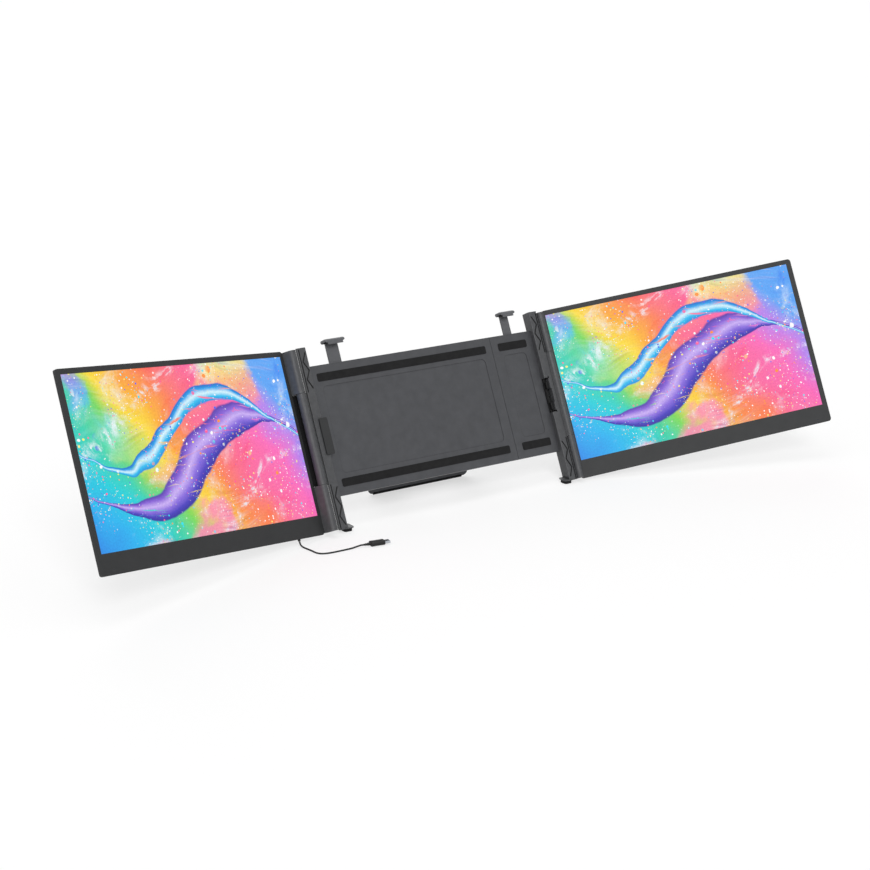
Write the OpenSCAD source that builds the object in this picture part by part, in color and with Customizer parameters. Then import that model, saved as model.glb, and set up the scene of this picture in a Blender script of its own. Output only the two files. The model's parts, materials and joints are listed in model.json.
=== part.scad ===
// Laptop screen extender: two slim monitors on friction hinges, carried by a leaning
// bracket that grips the lid of a laptop between two columns and stands on a kickstand.
// Millimetres, +Z up. The origin is on the desk, midway between the columns, where the
// plane of the columns' front faces meets the desk. -Y points at the user.

/* [Screens] */
// Width of the lit area of each screen
active_w = 344.2; // [300:0.1:385]
// Visible border above the lit area
bezel_top = 6.2; // [4.5:0.1:12]
// Border below the lit area, which covers the driver board
bezel_bottom = 23.5; // [20:0.5:32]
// Border at the free edge
bezel_outer = 6.9; // [5:0.1:12]
// Border at the hinge edge
bezel_inner = 4.5; // [4:0.1:10]
// Thickness of a monitor
panel_t = 6.8; // [6.6:0.1:7.4]
// Depth of the straight edge before the rear chamfer starts
edge_t = 3.2; // [3:0.1:3.6]
// Width of the chamfer round the back
back_chamfer = 5; // [3:0.5:8]
// Corner radius of a monitor
corner_r = 4; // [2:0.5:7]
// Wall of the bezel and of the rear cover
wall = 1.1; // [0.9:0.1:1.3]

/* [Bracket] */
// Backward lean of the bracket and of the laptop lid, in degrees
lean = 25; // [18:1:30]
// Free width between the two columns, which the laptop lid fills
lid_gap = 332; // [320:1:360]
// Depth left for the laptop lid in front of the pads
lid_t = 6.5; // [5.5:0.1:7]
// Width of a column
column_w = 12.5; // [11.5:0.5:16]
// Depth of a column and of the housing's back, from the front plane
column_d = 15; // [15:0.5:18]
// Height of the panels' lower edge above the front line on the desk
panel_lift = 3.8; // [3.5:0.1:8]
// Height of the rubber under the columns
foot_t = 4.2; // [1:0.1:6]
// How far each column's toe stands out in front of its column
toe_forward = 0.5; // [0:0.5:4.5]
// How far each column's toe reaches inward, under the lid
toe_inward = 8; // [4:0.5:12]
// Lower edge of the housing behind the lid
housing_bottom = 45; // [40:1:60]
// Height of the housing behind the lid
housing_h = 160; // [150:1:165]
// Wall of the housing
housing_wall = 1.4; // [1.2:0.1:1.6]
// X of the parting line between the fixed and the sliding housing
parting_x = 102; // [98:1:106]
// Travel of the right column when the bracket is pulled wider
slide_travel = 55; // [20:1:60]

/* [Hinges] */
// Distance of the left hinge axis from the middle
left_axis_x = 189.5; // [188.5:0.5:192.5]
// Distance of the left hinge axis in front of the columns
left_axis_fwd = 5; // [4.6:0.1:5.4]
// Radius of the left hinge barrels
left_barrel_r = 5.6; // [5.2:0.1:6]
// How far the left screen's face lies behind its axis when opened flat
left_face_back = 7.9; // [7.6:0.1:8.4]
// Gap from the left axis to the edge of the left monitor
left_edge_gap = 7.4; // [7:0.1:8.2]
// Distance of the right hinge axis from the middle
right_axis_x = 183.2; // [183.2:0.1:185]
// Radius of the right hinge barrels
right_barrel_r = 4.4; // [4:0.1:4.5]
// How far the right screen's face lies behind its axis when opened flat
right_face_back = 4.2; // [4:0.1:4.4]
// Gap from the right axis to the edge of the right monitor
right_edge_gap = 3.4; // [3.2:0.1:4.5]
// Turn of the left monitor towards the user, in degrees
left_turn = 20; // [0:1:60]
// Turn of the right monitor towards the user, in degrees
right_turn = 19; // [0:1:60]
// Height of the turning knuckle below the fixed middle one
lower_knuckle_h = 55.7; // [45:0.1:60]
// Height of the turning knuckle above the fixed middle one
upper_knuckle_h = 52.5; // [45:0.1:60]
// Gap between neighbouring knuckles
knuckle_gap = 0.4; // [0.3:0.05:0.8]
// Radius of the steel hinge pins
pin_r = 1.6; // [1.3:0.1:1.8]
// Radial running clearance of a pin in a turning knuckle
pin_clear = 0.05; // [0.02:0.01:0.1]

/* [Grips] */
// Distance of the left top clip from the middle
clip_x = 124.5; // [118:0.5:134]
// How much further from the middle the right top clip sits
clip_shift = 8.5; // [0:0.5:10]
// Width of the left top clip
clip_w = 27; // [22:1:40]
// How much narrower the right top clip is
clip_less = 5; // [0:0.5:6]
// Height of the lid's top edge along the lean
lid_top = 229; // [227:0.5:231]
// Travel of the top clips for taller lids
clip_travel = 22; // [10:1:25]
// Lower edge of the side hook and of the side pusher
grip_bottom = 95.5; // [85:0.5:105]
// Height of the side hook and of the side pusher
grip_h = 45; // [35:0.5:50]
// Travel of the sprung pusher into the right column
pusher_travel = 2.2; // [1:0.1:2.4]

/* [Kickstand] */
// Height of the kickstand hinge along the lean
kick_h = 126; // [115:1:140]
// Length of the kickstand from its hinge to its rubber edge
kick_len = 110; // [104:1:112]
// Width of the kickstand
kick_w = 150; // [110:2:160]
// Thickness of the kickstand plate
kick_t = 2.4; // [2:0.1:3]
// Radius of the rubber edge that stands on the desk
kick_foot_r = 2.2; // [1.6:0.1:2.6]

/* [Cable] */
// Diameter of the cable
cable_d = 2; // [1.6:0.1:2.4]
// Distance of the cable's exit from the left monitor's hinge edge
cable_exit = 44; // [30:1:60]
// Distance of the USB-C socket from the right monitor's hinge edge
port_exit = 47; // [30:1:70]
// Width of the USB-C plug's grip
plug_w = 10; // [9:0.5:12]
// Height of the USB-C plug's grip
plug_t = 5.6; // [5:0.1:6.5]
// Length of the USB-C plug's grip
plug_l = 17.5; // [14:0.5:24]

/* [Hidden] */
$fn = 48;

LEFT = -1;
RIGHT = 1;
big = 900;           // larger than the whole object
eps = 0.01;          // overshoot of a cut through a face
fit = 0.3;           // gap between pieces that slide past each other
slot_round = 0.49;   // a slot's end radius over its width
seat = 0.05;         // gap between layers stacked inside a monitor

body_grey = "#3a3b3d";
column_grey = "#505154";
trim_grey = "#5f6063";
display_black = "#0c0d10";
light_white = "#d8dadc";
led_blue = "#2f6fd0";
rubber_black = "#151515";
steel = "#a8abb0";
board_green = "#1f5a3c";

// Monitor sizes that follow from the screen
active_h = active_w * 9 / 16;
panel_w = bezel_inner + active_w + bezel_outer;
panel_h = bezel_bottom + active_h + bezel_top;
bezel_skin = 0.8;
lcd_t = 1.2;
light_t = 2.2;
lcd_lap = bezel_inner - wall - 2 * fit;   // how far the display reaches under the bezel
light_back = bezel_skin + lcd_t + light_t + 2 * seat;
cover_floor = panel_t - wall;
board_t = 1;
switch_t = 0.4;
board_depth = cover_floor - 2 * board_t - switch_t;
board_edge = wall + back_chamfer * (board_depth + board_t - edge_t) / (cover_floor - edge_t)
    + fit;                                 // clears the cover's chamfered wall
board_share = 0.62;                        // board width in display widths
board_w = active_w * board_share;
board_h = bezel_bottom - lcd_lap - board_edge - 1;
switch_w = 4;
chip_w = 12;
chip_h = 9;
chip_t = 1.2;
chip_pitch = 30;
leaf_t = cover_floor - light_back - 2 * seat;
leaf_depth = cover_floor - seat - leaf_t;
leaf_in = 14;                              // how far a leaf reaches into the monitor
leaf_slack = 0.1;
least_r = 0.6;                             // least corner radius of an inner outline
strip_past = 2.5;                          // gap strip past the left hinge axis
strip_depth = 1;                           // its front, behind the screen's face
strip_t = 1.2;
button_inset = 34;
button_pitch = 24;
button_y = 12;
button_r = 3.6;
button_travel = 0.6;
dimple_w = 2.2;                            // finger dimple round a button
dimple_d = 0.3;
led_inset = 20;
led_share = 0.2;                           // its height in the lower border
led_y = bezel_bottom * led_share;
led_w = 3.2;
led_h = 0.9;
vent_w = 5;
vent_h = 2;
vent_pitch = 9;
vent_count = 12;
vent_share = 0.3;                          // where the row starts, in monitor widths
cover_screw_r = 1.7;
cover_screw_t = 0.6;
cover_screw_inset = 12;
cover_screw_sunk = 0.2;                    // its head, below the cover's back
cover_screw_slot = 0.4;
gland_r = 1.9;
gland_tip_r = 1.3;
gland_l = 2.2;                             // how far the gland stands out
gland_depth = 2.2;                         // its axis, behind the screen's face
port_w = 9;
port_h = 3;
port_l = 7.4;
port_wall = 0.3;
port_depth = bezel_skin + 2 * seat;

// Bracket sizes that follow from the screens
column_rise = 0.9;                         // column above the monitors' top edge
column_h = panel_lift + panel_h + column_rise;
column_inner = lid_gap / 2;
column_outer = column_inner + column_w;
column_r = 1.2;
foot_r = 3;
toe_t = 1.1;
toe_lap = 6;                               // how far a toe lies under its column
foot_inset = 1.5;                          // toe left bare round its rubber
notch_lip = 3;                             // left column in front of its back notches
notch_in = 8;                              // how far in they reach at the column's back
groove_w = 1.4;
groove_d = 1.2;
groove_across = 1.4;                       // a sloping groove's width across, over groove_w
groove_pitch = 16;
barrel_end = 1.7;                          // barrel end inside the monitor's edge
knuckle_low = panel_lift + barrel_end + lower_knuckle_h + knuckle_gap;
knuckle_high = panel_lift + panel_h - barrel_end - upper_knuckle_h - knuckle_gap;
web_lap = 1;                               // how far the fixed knuckle's web enters its column
web_back = 6;                              // column left behind that web
web_front = 0.6;                           // column left in front of it
web_slope = 0.3;                           // and more of it for an axis that stands forward
web_turn = [200, 100];                     // where the web leaves the barrel, in degrees
knuckle_side = 2.6;                        // turning knuckle's side, behind the screen's face
knuckle_slope = 2.4;                       // width of the slope that ends that side
knuckle_edge = 0.9;                        // its front beside the monitor's edge
score_end = 6;                             // plain column beyond the scoring
score_gap = 5;                             // plain column between scoring and fixed knuckle
score_side = 1.4;                          // plain margin beside the triangles
score_line = 3;                            // the long line, from the column's outer edge
score_over = 4;                            // how far that line passes the triangles
pin_inset = 1;                             // kickstand pin inside its ears
pin_cap = 3;                               // closed end of an end knuckle

housing_top = housing_bottom + housing_h;
housing_front_y = lid_t + 0.6;             // the pads fill the gap up to lid_t
housing_cavity = column_d - housing_front_y - 2 * housing_wall;
tongue_t = 1.8;
tongue_y = housing_front_y + housing_wall + (housing_cavity - tongue_t) / 2;
tongue_h = 76;
tongue_rise = 26;                          // tongue above the housing's lower edge
tongue_z = housing_bottom + tongue_rise;
tongue_kept = 105;                         // tongue left inside when pulled fully out
tongue_in = slide_travel + tongue_kept;
tongue_slot_w = 12;
tongue_slot_l = 34;
clamp_w = 24;                              // rib that clamps the tongue's end
rail_h = 5;
rail_end = 2;
rail_short = 10;                           // rail ends short of the parting line
rail_l = column_inner + parting_x - rail_end - rail_short;
housing_gap = 0.5;                         // parting line between the two housings
pad_t = housing_front_y - lid_t;
pad_h = 10;
pad_end = 10;                              // housing left beside a pad
pad_r = 2;
panel_side = 14;                           // housing front left beside its sunk panel
panel_end = 26;                            // housing front left above and below it
panel_sunk = 0.5;
panel_round = 6;
stem_less = 10;                            // how much narrower a stem is than its clip
stem_t = 2.2;
stem_y = housing_front_y + housing_wall + 0.9;
stem_kept = 16;                            // stem left inside when a clip is fully lifted
stem_low = housing_top - clip_travel - stem_kept;
clip_head_h = 4.6;
clip_head_r = 2.2;
clip_nose = 4.2;                           // radius from a clip's front to its top
lip_share = 0.75;                          // lip's thickness over that wall's
clip_lip = 1.6;                            // thickness of the head's front wall
clip_front = 1.9;
clip_side = 3;                             // head past each end of its lip
clip_drop = 2.2;                           // how far the lip hangs in front of the lid
clip_seat = 0.6;                           // head above the lid's top edge
clip_channel = 1.2;                        // height of the channel for the pad
channel_back = 0.8;                        // head left between channel and stem
clip_spring_in = 2.5;                      // spring axes inside the stem's edges
clip_spring_r = 1.6;
clip_turns = 5;
wire_sides = 6;
coil_steps = 12;                           // straight pieces in one turn of a coil
spring_wire_r = 0.35;
spring_rest = 0.4;                         // gap between the springs and the rail below
screw_r = 2;
screw_head_t = 0.9;
screw_sunk = 0.1;
screw_cross = 1.3;                         // span of the cross, in head radii
screw_slot = 0.5;
screw_slot_d = 0.5;
screw_inset = 8;
base_screw_share = 0.78;                   // second base screw, in parting line distances
screw_boss_r = 3;

hook_reach = 5;                            // how far the hook laps over the lid
hook_back = 6;                             // how far the hook lies on its column
hook_t = 2.2;
hook_r = 2;
pocket_w = 5.5;
pocket_d = 9;
step_w = 1.4;
step_h = 3;
step_mid = [0.28, 0.4];                    // middle step's start and height, in pocket heights
lug_z = [0.08, 0.68];                      // where the lugs start, in pocket heights
lug_h = 0.2;                               // their height, in pocket heights
bar_front = 4.5;                           // the pusher's bar, behind the front plane
lug_front = 1;                             // its lugs, behind the front plane
pusher_pad_t = 0.9;
pusher_spring_r = 1.5;
pusher_turns = 3;

kick_barrel_r = 2.9;
kick_pin_r = 1.25;
kick_y = column_d + kick_barrel_r + fit;
ear_w = 8;
kick_drop = kick_h * cos(lean) - kick_y * sin(lean) - kick_foot_r;
kick_open = lean + acos(kick_drop / kick_len);
kick_corner_r = 6;
kick_side = 30;                            // plate left beside its window
kick_below = 22;                           // plate left below the window
kick_above = 26;                           // plate left above it, hinge barrel included
window_r = 10;
foot_end = 8;                              // plate past each end of the rubber edge
ear_gap = 1;

// The cable's route over the desk, from the gland under the left monitor to the plug.
// The points are round numbers chosen by hand.
cable_route = [[-241.2, -11.3, 6.8], [-241.1, -12.6, 4.3], [-240.6, -14.6, 2.3],
    [-239.6, -18.6, 1.2], [-238.4, -25, 1.0], [-237.4, -32, 1.0], [-237, -38, 1.0],
    [-235.8, -43.2, 1.0], [-232.6, -47.2, 1.0], [-227.5, -49.6, 1.0], [-220, -50.8, 1.0],
    [-211, -51.2, 1.0], [-202, -51.3, 1.0], [-194, -51.5, 1.2], [-188, -51.8, 2.0],
    [-183, -52.5, 2.8], [-179.2, -53.1, 2.8]];
plug_turn = -9;                            // heading of the plug on the desk, in degrees
relief_l = 8;
relief_wall = 0.3;
relief_r = 2.1;
cable_sides = 8;
steep = 0.9;                               // rise above which a route counts as upright
plug_round = 0.45;                         // plug grip's corner radius over its height
shell_wall = 0.35;
shell_l = 6.65;
shell_w = 8.34;
shell_t = 2.56;

// ---- Placing ----

function axis_x(side) = side == LEFT ? left_axis_x : right_axis_x;
function axis_fwd(side) = side == LEFT ? left_axis_fwd : 0;
function barrel_r(side) = side == LEFT ? left_barrel_r : right_barrel_r;
function face_back(side) = side == LEFT ? left_face_back : right_face_back;
function edge_gap(side) = side == LEFT ? left_edge_gap : right_edge_gap;
function turn(side) = side == LEFT ? left_turn : right_turn;
function clip_at(side) = side == LEFT ? -clip_x : clip_x + clip_shift;
function clip_width(side) = side == LEFT ? clip_w : clip_w - clip_less;
function stem_w(side) = clip_width(side) - stem_less;

// The leaning frame: X to the right, Y backward, Z up the lean
module leaning() { rotate([-lean, 0, 0]) children(); }

// The same, mirrored for the left side, so that X points outward
module leaning_side(side) {
    leaning() mirror([side == LEFT ? 1 : 0, 0, 0]) children();
}

// Cuts everything below a height above the desk
module above_desk(height) {
    difference() {
        children();
        translate([-big / 2, -big / 2, height - big]) cube(big);
    }
}

// A monitor lying flat: X outward from the hinge edge, Y up the screen, Z backward
// from the screen's face. This stands it up on its hinge.
module on_hinge(side) {
    leaning_side(side)
        translate([axis_x(side), -axis_fwd(side), 0])
            rotate([0, 0, -turn(side)])
                translate([edge_gap(side), face_back(side), panel_lift])
                    mirror([0, 1, 0]) rotate([90, 0, 0]) children();
}

// ---- Shared shapes ----

// A rectangle with true round corners
module round_rect(w, h, r) {
    translate([r, 0]) square([w - 2 * r, h]);
    translate([0, r]) square([w, h - 2 * r]);
    for (x = [r, w - r], y = [r, h - r]) translate([x, y]) circle(r);
}

// A flat-headed screw with a cross slot, head at Z = 0 and shank towards -Z
module screw(length) {
    difference() {
        union() {
            cylinder(r = screw_r, h = screw_head_t);
            translate([0, 0, -length]) cylinder(r = screw_r * 0.5, h = length + eps);
        }
        for (a = [0, 90]) rotate([0, 0, a])
            translate([-screw_r * screw_cross / 2, -screw_slot / 2, screw_head_t - screw_slot_d])
                cube([screw_r * screw_cross, screw_slot, screw_head_t]);
    }
}

// A zig-zag band, seen from the front, that fits a given height
module zigzag(w, h) {
    count = max(2, 2 * floor(h / groove_pitch));
    step = h / count;
    band = groove_across * groove_w;
    near = [for (i = [0:count]) [i % 2 == 0 ? 0 : w - band, i * step]];
    far = [for (i = [count:-1:0]) [i % 2 == 0 ? band : w, i * step]];
    polygon(concat(near, far));
}

// Triangles scored into a column's front beside each end knuckle
module column_scoring() {
    for (zone = [[panel_lift + score_end, knuckle_low - score_gap],
            [knuckle_high + score_gap, column_h - score_end]]) {
        translate([column_inner + score_side, groove_d, zone[0]]) rotate([90, 0, 0])
            linear_extrude(2 * groove_d)
                zigzag(column_w - score_side - score_line - groove_w / 2, zone[1] - zone[0]);
        translate([column_outer - score_line, -groove_d, zone[0] - score_over])
            cube([groove_w, 2 * groove_d, zone[1] - zone[0] + 2 * score_over]);
    }
}

// The fixed knuckle in the middle and the web that joins it to its column
module fixed_knuckle(side) {
    r = barrel_r(side);
    x = axis_x(side);
    y = -axis_fwd(side);
    translate([x, y, knuckle_low]) cylinder(r = r, h = knuckle_high - knuckle_low);
    translate([0, 0, knuckle_low]) linear_extrude(knuckle_high - knuckle_low)
        polygon([[column_outer - web_lap, web_front - web_slope * y],
            [x + r * cos(web_turn[0]), y + r * sin(web_turn[0])], [x, y],
            [x + r * cos(web_turn[1]), y + r * sin(web_turn[1])],
            [column_outer - web_lap, column_d - web_back]]);
}

// The left column's outer back corner, cut away beside each turning knuckle
module column_notches() {
    for (zone = [[-eps, knuckle_low], [knuckle_high, column_h + eps]])
        translate([0, 0, zone[0]]) linear_extrude(zone[1] - zone[0])
            polygon([[column_outer + eps, notch_lip],
                [column_outer - notch_in, column_d + eps],
                [column_outer + eps, column_d + eps]]);
}

module column_solid(side) {
    leaning_side(side) difference() {
        union() {
            translate([column_inner, 0, 0]) linear_extrude(column_h)
                round_rect(column_w, column_d, column_r);
            fixed_knuckle(side);
        }
        column_scoring();
        if (side == LEFT) column_notches();
        translate([axis_x(side), -axis_fwd(side), knuckle_low - eps])
            cylinder(r = pin_r, h = knuckle_high - knuckle_low + 2 * eps);
        if (side == RIGHT) pusher_pocket();
    }
    toe(side);
}

// The toe under a column: a low plate that reaches in under the lid
module toe(side) {
    translate([0, 0, foot_t]) linear_extrude(toe_t) foot_outline(side, 0);
}

// Footprint of a toe, inset by some distance
module foot_outline(side, inset) {
    front = foot_t * tan(lean) - toe_forward;
    mirror([side == LEFT ? 1 : 0, 0])
        translate([column_inner - toe_inward + inset, front + inset])
            round_rect(toe_inward + toe_lap - 2 * inset,
                column_d / cos(lean) - front - 2 * inset, foot_r);
}

// The pusher's pocket, stepped deeper in three places as [start, height]
module pusher_pocket() {
    translate([column_inner - eps, -eps, grip_bottom])
        cube([pocket_w + eps, pocket_d, grip_h]);
    for (step = [[-step_h / 3, step_h], grip_h * step_mid,
            [grip_h - step_h / 3, step_h]])
        translate([column_inner + pocket_w - eps, -eps, grip_bottom + step[0]])
            cube([step_w, pocket_d, step[1]]);
}

// ---- Fixed frame ----

module left_column() {
    color(column_grey) above_desk(foot_t) column_solid(LEFT);
}

module right_column() {
    color(column_grey) above_desk(foot_t) column_solid(RIGHT);
}

module foot_pad(side) {
    color(rubber_black) linear_extrude(foot_t) foot_outline(side, foot_inset);
}

module left_foot_pad() { foot_pad(LEFT); }
module right_foot_pad() { foot_pad(RIGHT); }

// The hook that laps over the lid's left border
module left_side_hook() {
    color(trim_grey) leaning_side(LEFT) {
        translate([column_inner - hook_reach, 0, grip_bottom + grip_h])
            mirror([0, 0, 1]) rotate([90, 0, 0]) linear_extrude(hook_t)
                round_rect(hook_reach + hook_back, grip_h, hook_r);
    }
}

module hinge_pin(side) {
    low = panel_lift + barrel_end + pin_cap;
    high = panel_lift + panel_h - barrel_end - pin_cap;
    color(steel) leaning_side(side)
        translate([axis_x(side), -axis_fwd(side), low]) cylinder(r = pin_r, h = high - low);
}

module left_hinge_pin() { hinge_pin(LEFT); }
module right_hinge_pin() { hinge_pin(RIGHT); }

// A housing's front plate between two X positions, with a sunk panel
module front_plate(x0, x1) {
    difference() {
        translate([x0, housing_front_y, housing_bottom])
            cube([x1 - x0, housing_wall, housing_h]);
        translate([x0 + panel_side, housing_front_y + panel_sunk, housing_bottom + panel_end])
            rotate([90, 0, 0]) linear_extrude(panel_sunk + eps)
                round_rect(x1 - x0 - 2 * panel_side, housing_h - 2 * panel_end, panel_round);
    }
}

// A housing's rear shell: back, top and bottom walls, with its ends left open
module rear_shell(x0, x1) {
    inside_y = housing_front_y + housing_wall;
    difference() {
        translate([x0, inside_y, housing_bottom])
            cube([x1 - x0, column_d - inside_y, housing_h]);
        translate([x0 - eps, inside_y - eps, housing_bottom + housing_wall])
            cube([x1 - x0 + 2 * eps, housing_cavity + eps, housing_h - 2 * housing_wall]);
    }
}

// The slot in a housing's top wall through which a clip's stem slides
module stem_slot(side) {
    translate([clip_at(side) - stem_w(side) / 2 - fit, stem_y - fit,
            housing_top - 2 * housing_wall])
        cube([stem_w(side) + 2 * fit, stem_t + 2 * fit, 3 * housing_wall]);
}

// Holes for the screws that hold a housing together
module screw_places(x_list) {
    for (x = x_list, z = [housing_bottom + screw_inset, housing_top - screw_inset])
        translate([x, column_d, z]) rotate([-90, 0, 0]) children();
}

// Bosses between the two shells, one round each screw
module screw_bosses(x_list) {
    inside_y = housing_front_y + housing_wall;
    screw_places(x_list) translate([0, 0, inside_y - column_d])
        cylinder(r = screw_boss_r, h = housing_cavity + eps);
}

module screw_holes(x_list) {
    screw_places(x_list) {
        translate([0, 0, -screw_head_t - fit]) cylinder(r = screw_r + fit, h = 2 * screw_head_t);
        translate([0, 0, -housing_cavity - 1]) cylinder(r = screw_r * 0.5, h = housing_cavity + 2);
    }
}

base_screw_x = [screw_inset - column_inner, -parting_x * base_screw_share, 0, parting_x - screw_inset];
end_screw_x = [parting_x + screw_inset, column_inner - screw_inset];

module housing_front() {
    color(body_grey) leaning() front_plate(-column_inner, parting_x - housing_gap);
}

module housing_rear() {
    color(body_grey) leaning() difference() {
        union() {
            rear_shell(-column_inner, parting_x - housing_gap);
            screw_bosses(base_screw_x);
        }
        screw_holes(base_screw_x);
        stem_slot(LEFT);
    }
}

// Guide rails above and below the tongue
module slide_rails() {
    color(steel) leaning()
        for (z = [tongue_z - rail_h - fit, tongue_z + tongue_h + fit])
            translate([-column_inner + rail_end, housing_front_y + housing_wall, z])
                cube([rail_l, housing_cavity, rail_h]);
}

// Rubber strips on which the lid's back rests
module lid_pad(x0, x1) {
    for (z = [housing_bottom + pad_h, housing_top - 2 * pad_h])
        translate([x0, housing_front_y, z]) rotate([90, 0, 0])
            linear_extrude(pad_t) round_rect(x1 - x0, pad_h, pad_r);
}

module left_lid_pad() {
    color(rubber_black) leaning() lid_pad(pad_end - column_inner, parting_x - pad_end);
}

module right_lid_pad() {
    color(rubber_black) leaning() lid_pad(parting_x + pad_end, column_inner - pad_end);
}

module housing_screws() {
    color(steel) leaning() screw_places(base_screw_x)
        translate([0, 0, -screw_head_t - screw_sunk]) screw(housing_cavity - 1);
}

// ---- Sliding frame ----

module slide_plate() {
    color(steel) leaning() difference() {
        translate([parting_x - tongue_in, tongue_y, tongue_z])
            cube([tongue_in + column_inner - parting_x, tongue_t, tongue_h]);
        for (k = [1, 2])
            translate([parting_x - tongue_in * k / 3 - tongue_slot_l / 2,
                tongue_y + tongue_t + eps, tongue_z + (tongue_h - tongue_slot_w) / 2])
                rotate([90, 0, 0]) linear_extrude(tongue_t + 2 * eps)
                    round_rect(tongue_slot_l, tongue_slot_w, tongue_slot_w * slot_round);
    }
}

module end_housing_front() {
    color(body_grey) leaning() front_plate(parting_x, column_inner);
}

// The end housing's shell, with a rib that clamps the tongue and a shelf for the springs
module end_housing_rear() {
    inside_y = housing_front_y + housing_wall;
    color(body_grey) leaning() difference() {
        union() {
            rear_shell(parting_x, column_inner);
            screw_bosses(end_screw_x);
            translate([column_inner - clamp_w, tongue_y + tongue_t, tongue_z])
                cube([clamp_w, column_d - tongue_y - tongue_t - housing_wall + eps,
                    tongue_h]);
            translate([clip_at(RIGHT) - stem_w(RIGHT) / 2, inside_y, tongue_z + tongue_h + fit])
                cube([stem_w(RIGHT), housing_cavity + eps, rail_h]);
        }
        screw_holes(end_screw_x);
        stem_slot(RIGHT);
    }
}

module end_screws() {
    color(steel) leaning() screw_places(end_screw_x)
        translate([0, 0, -screw_head_t - screw_sunk]) screw(housing_cavity - 1);
}

// ---- Sprung pusher in the right column ----

pusher_x = column_inner + 2 * fit;
pusher_w = pocket_w - pusher_travel - 4 * fit;
pusher_end = 2;                            // bar past each end of its pad
pusher_spring_end = 7;                     // outer springs, from the pocket's ends

// A bar with two lugs towards the front
module side_pusher() {
    color(trim_grey) leaning() {
        translate([pusher_x, bar_front, grip_bottom + fit])
            cube([pusher_w, pocket_d - bar_front - fit, grip_h - 2 * fit]);
        for (z = lug_z) translate([pusher_x, lug_front, grip_bottom + grip_h * z])
            cube([pusher_w, bar_front - lug_front + eps, grip_h * lug_h]);
    }
}

// A rubber strip on the bar, in front of the housing, that bears on the lid's edge
module pusher_pad() {
    color(rubber_black) leaning()
        translate([pusher_x - pusher_pad_t, bar_front + fit, grip_bottom + pusher_end])
            cube([pusher_pad_t, housing_front_y - bar_front - 3 * fit,
                grip_h - 2 * pusher_end]);
}

// Coil springs behind the pusher
module pusher_springs() {
    x = pusher_x + pusher_w;
    color(steel) leaning()
        for (z = [pusher_spring_end, grip_h / 2, grip_h - pusher_spring_end])
            translate([x, (bar_front + pocket_d) / 2, grip_bottom + z]) rotate([0, 90, 0])
                coil(pusher_spring_r, spring_wire_r, column_inner + pocket_w - x,
                    pusher_turns);
}

// A coil spring of round wire along Z
module coil(r, wire_r, h, turns) {
    steps = coil_steps * turns;
    points = [for (i = [0:steps]) [r * cos(360 * i / coil_steps), r * sin(360 * i / coil_steps),
        wire_r + (h - 2 * wire_r) * i / steps]];
    tube(points, wire_r, wire_sides);
}

// ---- Top clips ----

// A clip's head: rounded ends, and a front that curves back to its top
module clip_head(w, depth) {
    intersection() {
        rotate([90, 0, 0]) mirror([0, 0, 1]) linear_extrude(depth)
            round_rect(w, clip_head_h, clip_head_r);
        rotate([90, 0, 90]) linear_extrude(w) {
            translate([clip_nose, 0]) square([depth - clip_nose, clip_head_h]);
            square([clip_nose, clip_head_h - clip_nose]);
            translate([clip_nose, clip_head_h - clip_nose]) circle(clip_nose);
        }
    }
}

module top_clip(side) {
    w = clip_width(side);
    x0 = clip_at(side) - w / 2;
    color(trim_grey) leaning() {
        // head over the lid's top edge
        translate([x0, -clip_front, lid_top + clip_seat]) difference() {
            clip_head(w, clip_front + stem_y + stem_t);
            translate([-eps, clip_lip, -eps])
                cube([w + 2 * eps, stem_y + clip_front - clip_lip - channel_back,
                    clip_channel + eps]);
        }
        // lip in front of the lid
        translate([x0 + clip_side, -clip_front, lid_top - clip_drop])
            cube([w - 2 * clip_side, clip_lip * lip_share,
                clip_drop + clip_seat + clip_head_h - clip_nose]);
        // stem behind the lid
        translate([clip_at(side) - stem_w(side) / 2, stem_y, stem_low])
            cube([stem_w(side), stem_t, lid_top - stem_low + clip_seat + clip_channel]);
    }
}

module clip_pad(side) {
    color(rubber_black) leaning()
        translate([clip_at(side) - clip_width(side) / 2 + clip_side,
                clip_lip - clip_front + fit, lid_top])
            cube([clip_width(side) - 2 * clip_side,
                stem_y + clip_front - clip_lip - channel_back - 2 * fit,
                clip_seat + clip_channel]);
}

module left_top_clip() { top_clip(LEFT); }
module right_top_clip() { top_clip(RIGHT); }
module left_clip_pad() { clip_pad(LEFT); }
module right_clip_pad() { clip_pad(RIGHT); }

// Two coil springs that pull a clip down, under its stem
module clip_springs(side) {
    low = tongue_z + tongue_h + rail_h + fit + spring_rest;
    out = stem_w(side) / 2 - clip_spring_in;
    color(steel) leaning() for (x = [clip_at(side) - out, clip_at(side) + out])
        translate([x, housing_front_y + housing_wall + housing_cavity / 2, low])
            coil(clip_spring_r, spring_wire_r, stem_low - low, clip_turns);
}

module clip_springs_left() { clip_springs(LEFT); }
module clip_springs_right() { clip_springs(RIGHT); }

// ---- Kickstand ----

module kick_axis() {
    leaning() translate([0, kick_y, kick_h]) rotate([0, 90, 0]) children();
}

ear_x = kick_w / 2 + ear_gap;

module kickstand_ears() {
    color(column_grey) leaning() difference() {
        for (side = [LEFT, RIGHT]) translate([side * (ear_x + ear_w / 2) - ear_w / 2, 0, 0]) {
            translate([0, kick_y, kick_h]) rotate([0, 90, 0])
                cylinder(r = kick_barrel_r, h = ear_w);
            translate([0, column_d, kick_h - kick_barrel_r])
                cube([ear_w, kick_y - column_d, 2 * kick_barrel_r]);
        }
        translate([-big / 2, kick_y, kick_h]) rotate([0, 90, 0])
            cylinder(r = kick_pin_r, h = big);
    }
}

module kickstand_pin() {
    half = ear_x + ear_w - pin_inset;
    color(steel) kick_axis() translate([0, 0, -half]) cylinder(r = kick_pin_r, h = 2 * half);
}

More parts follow.
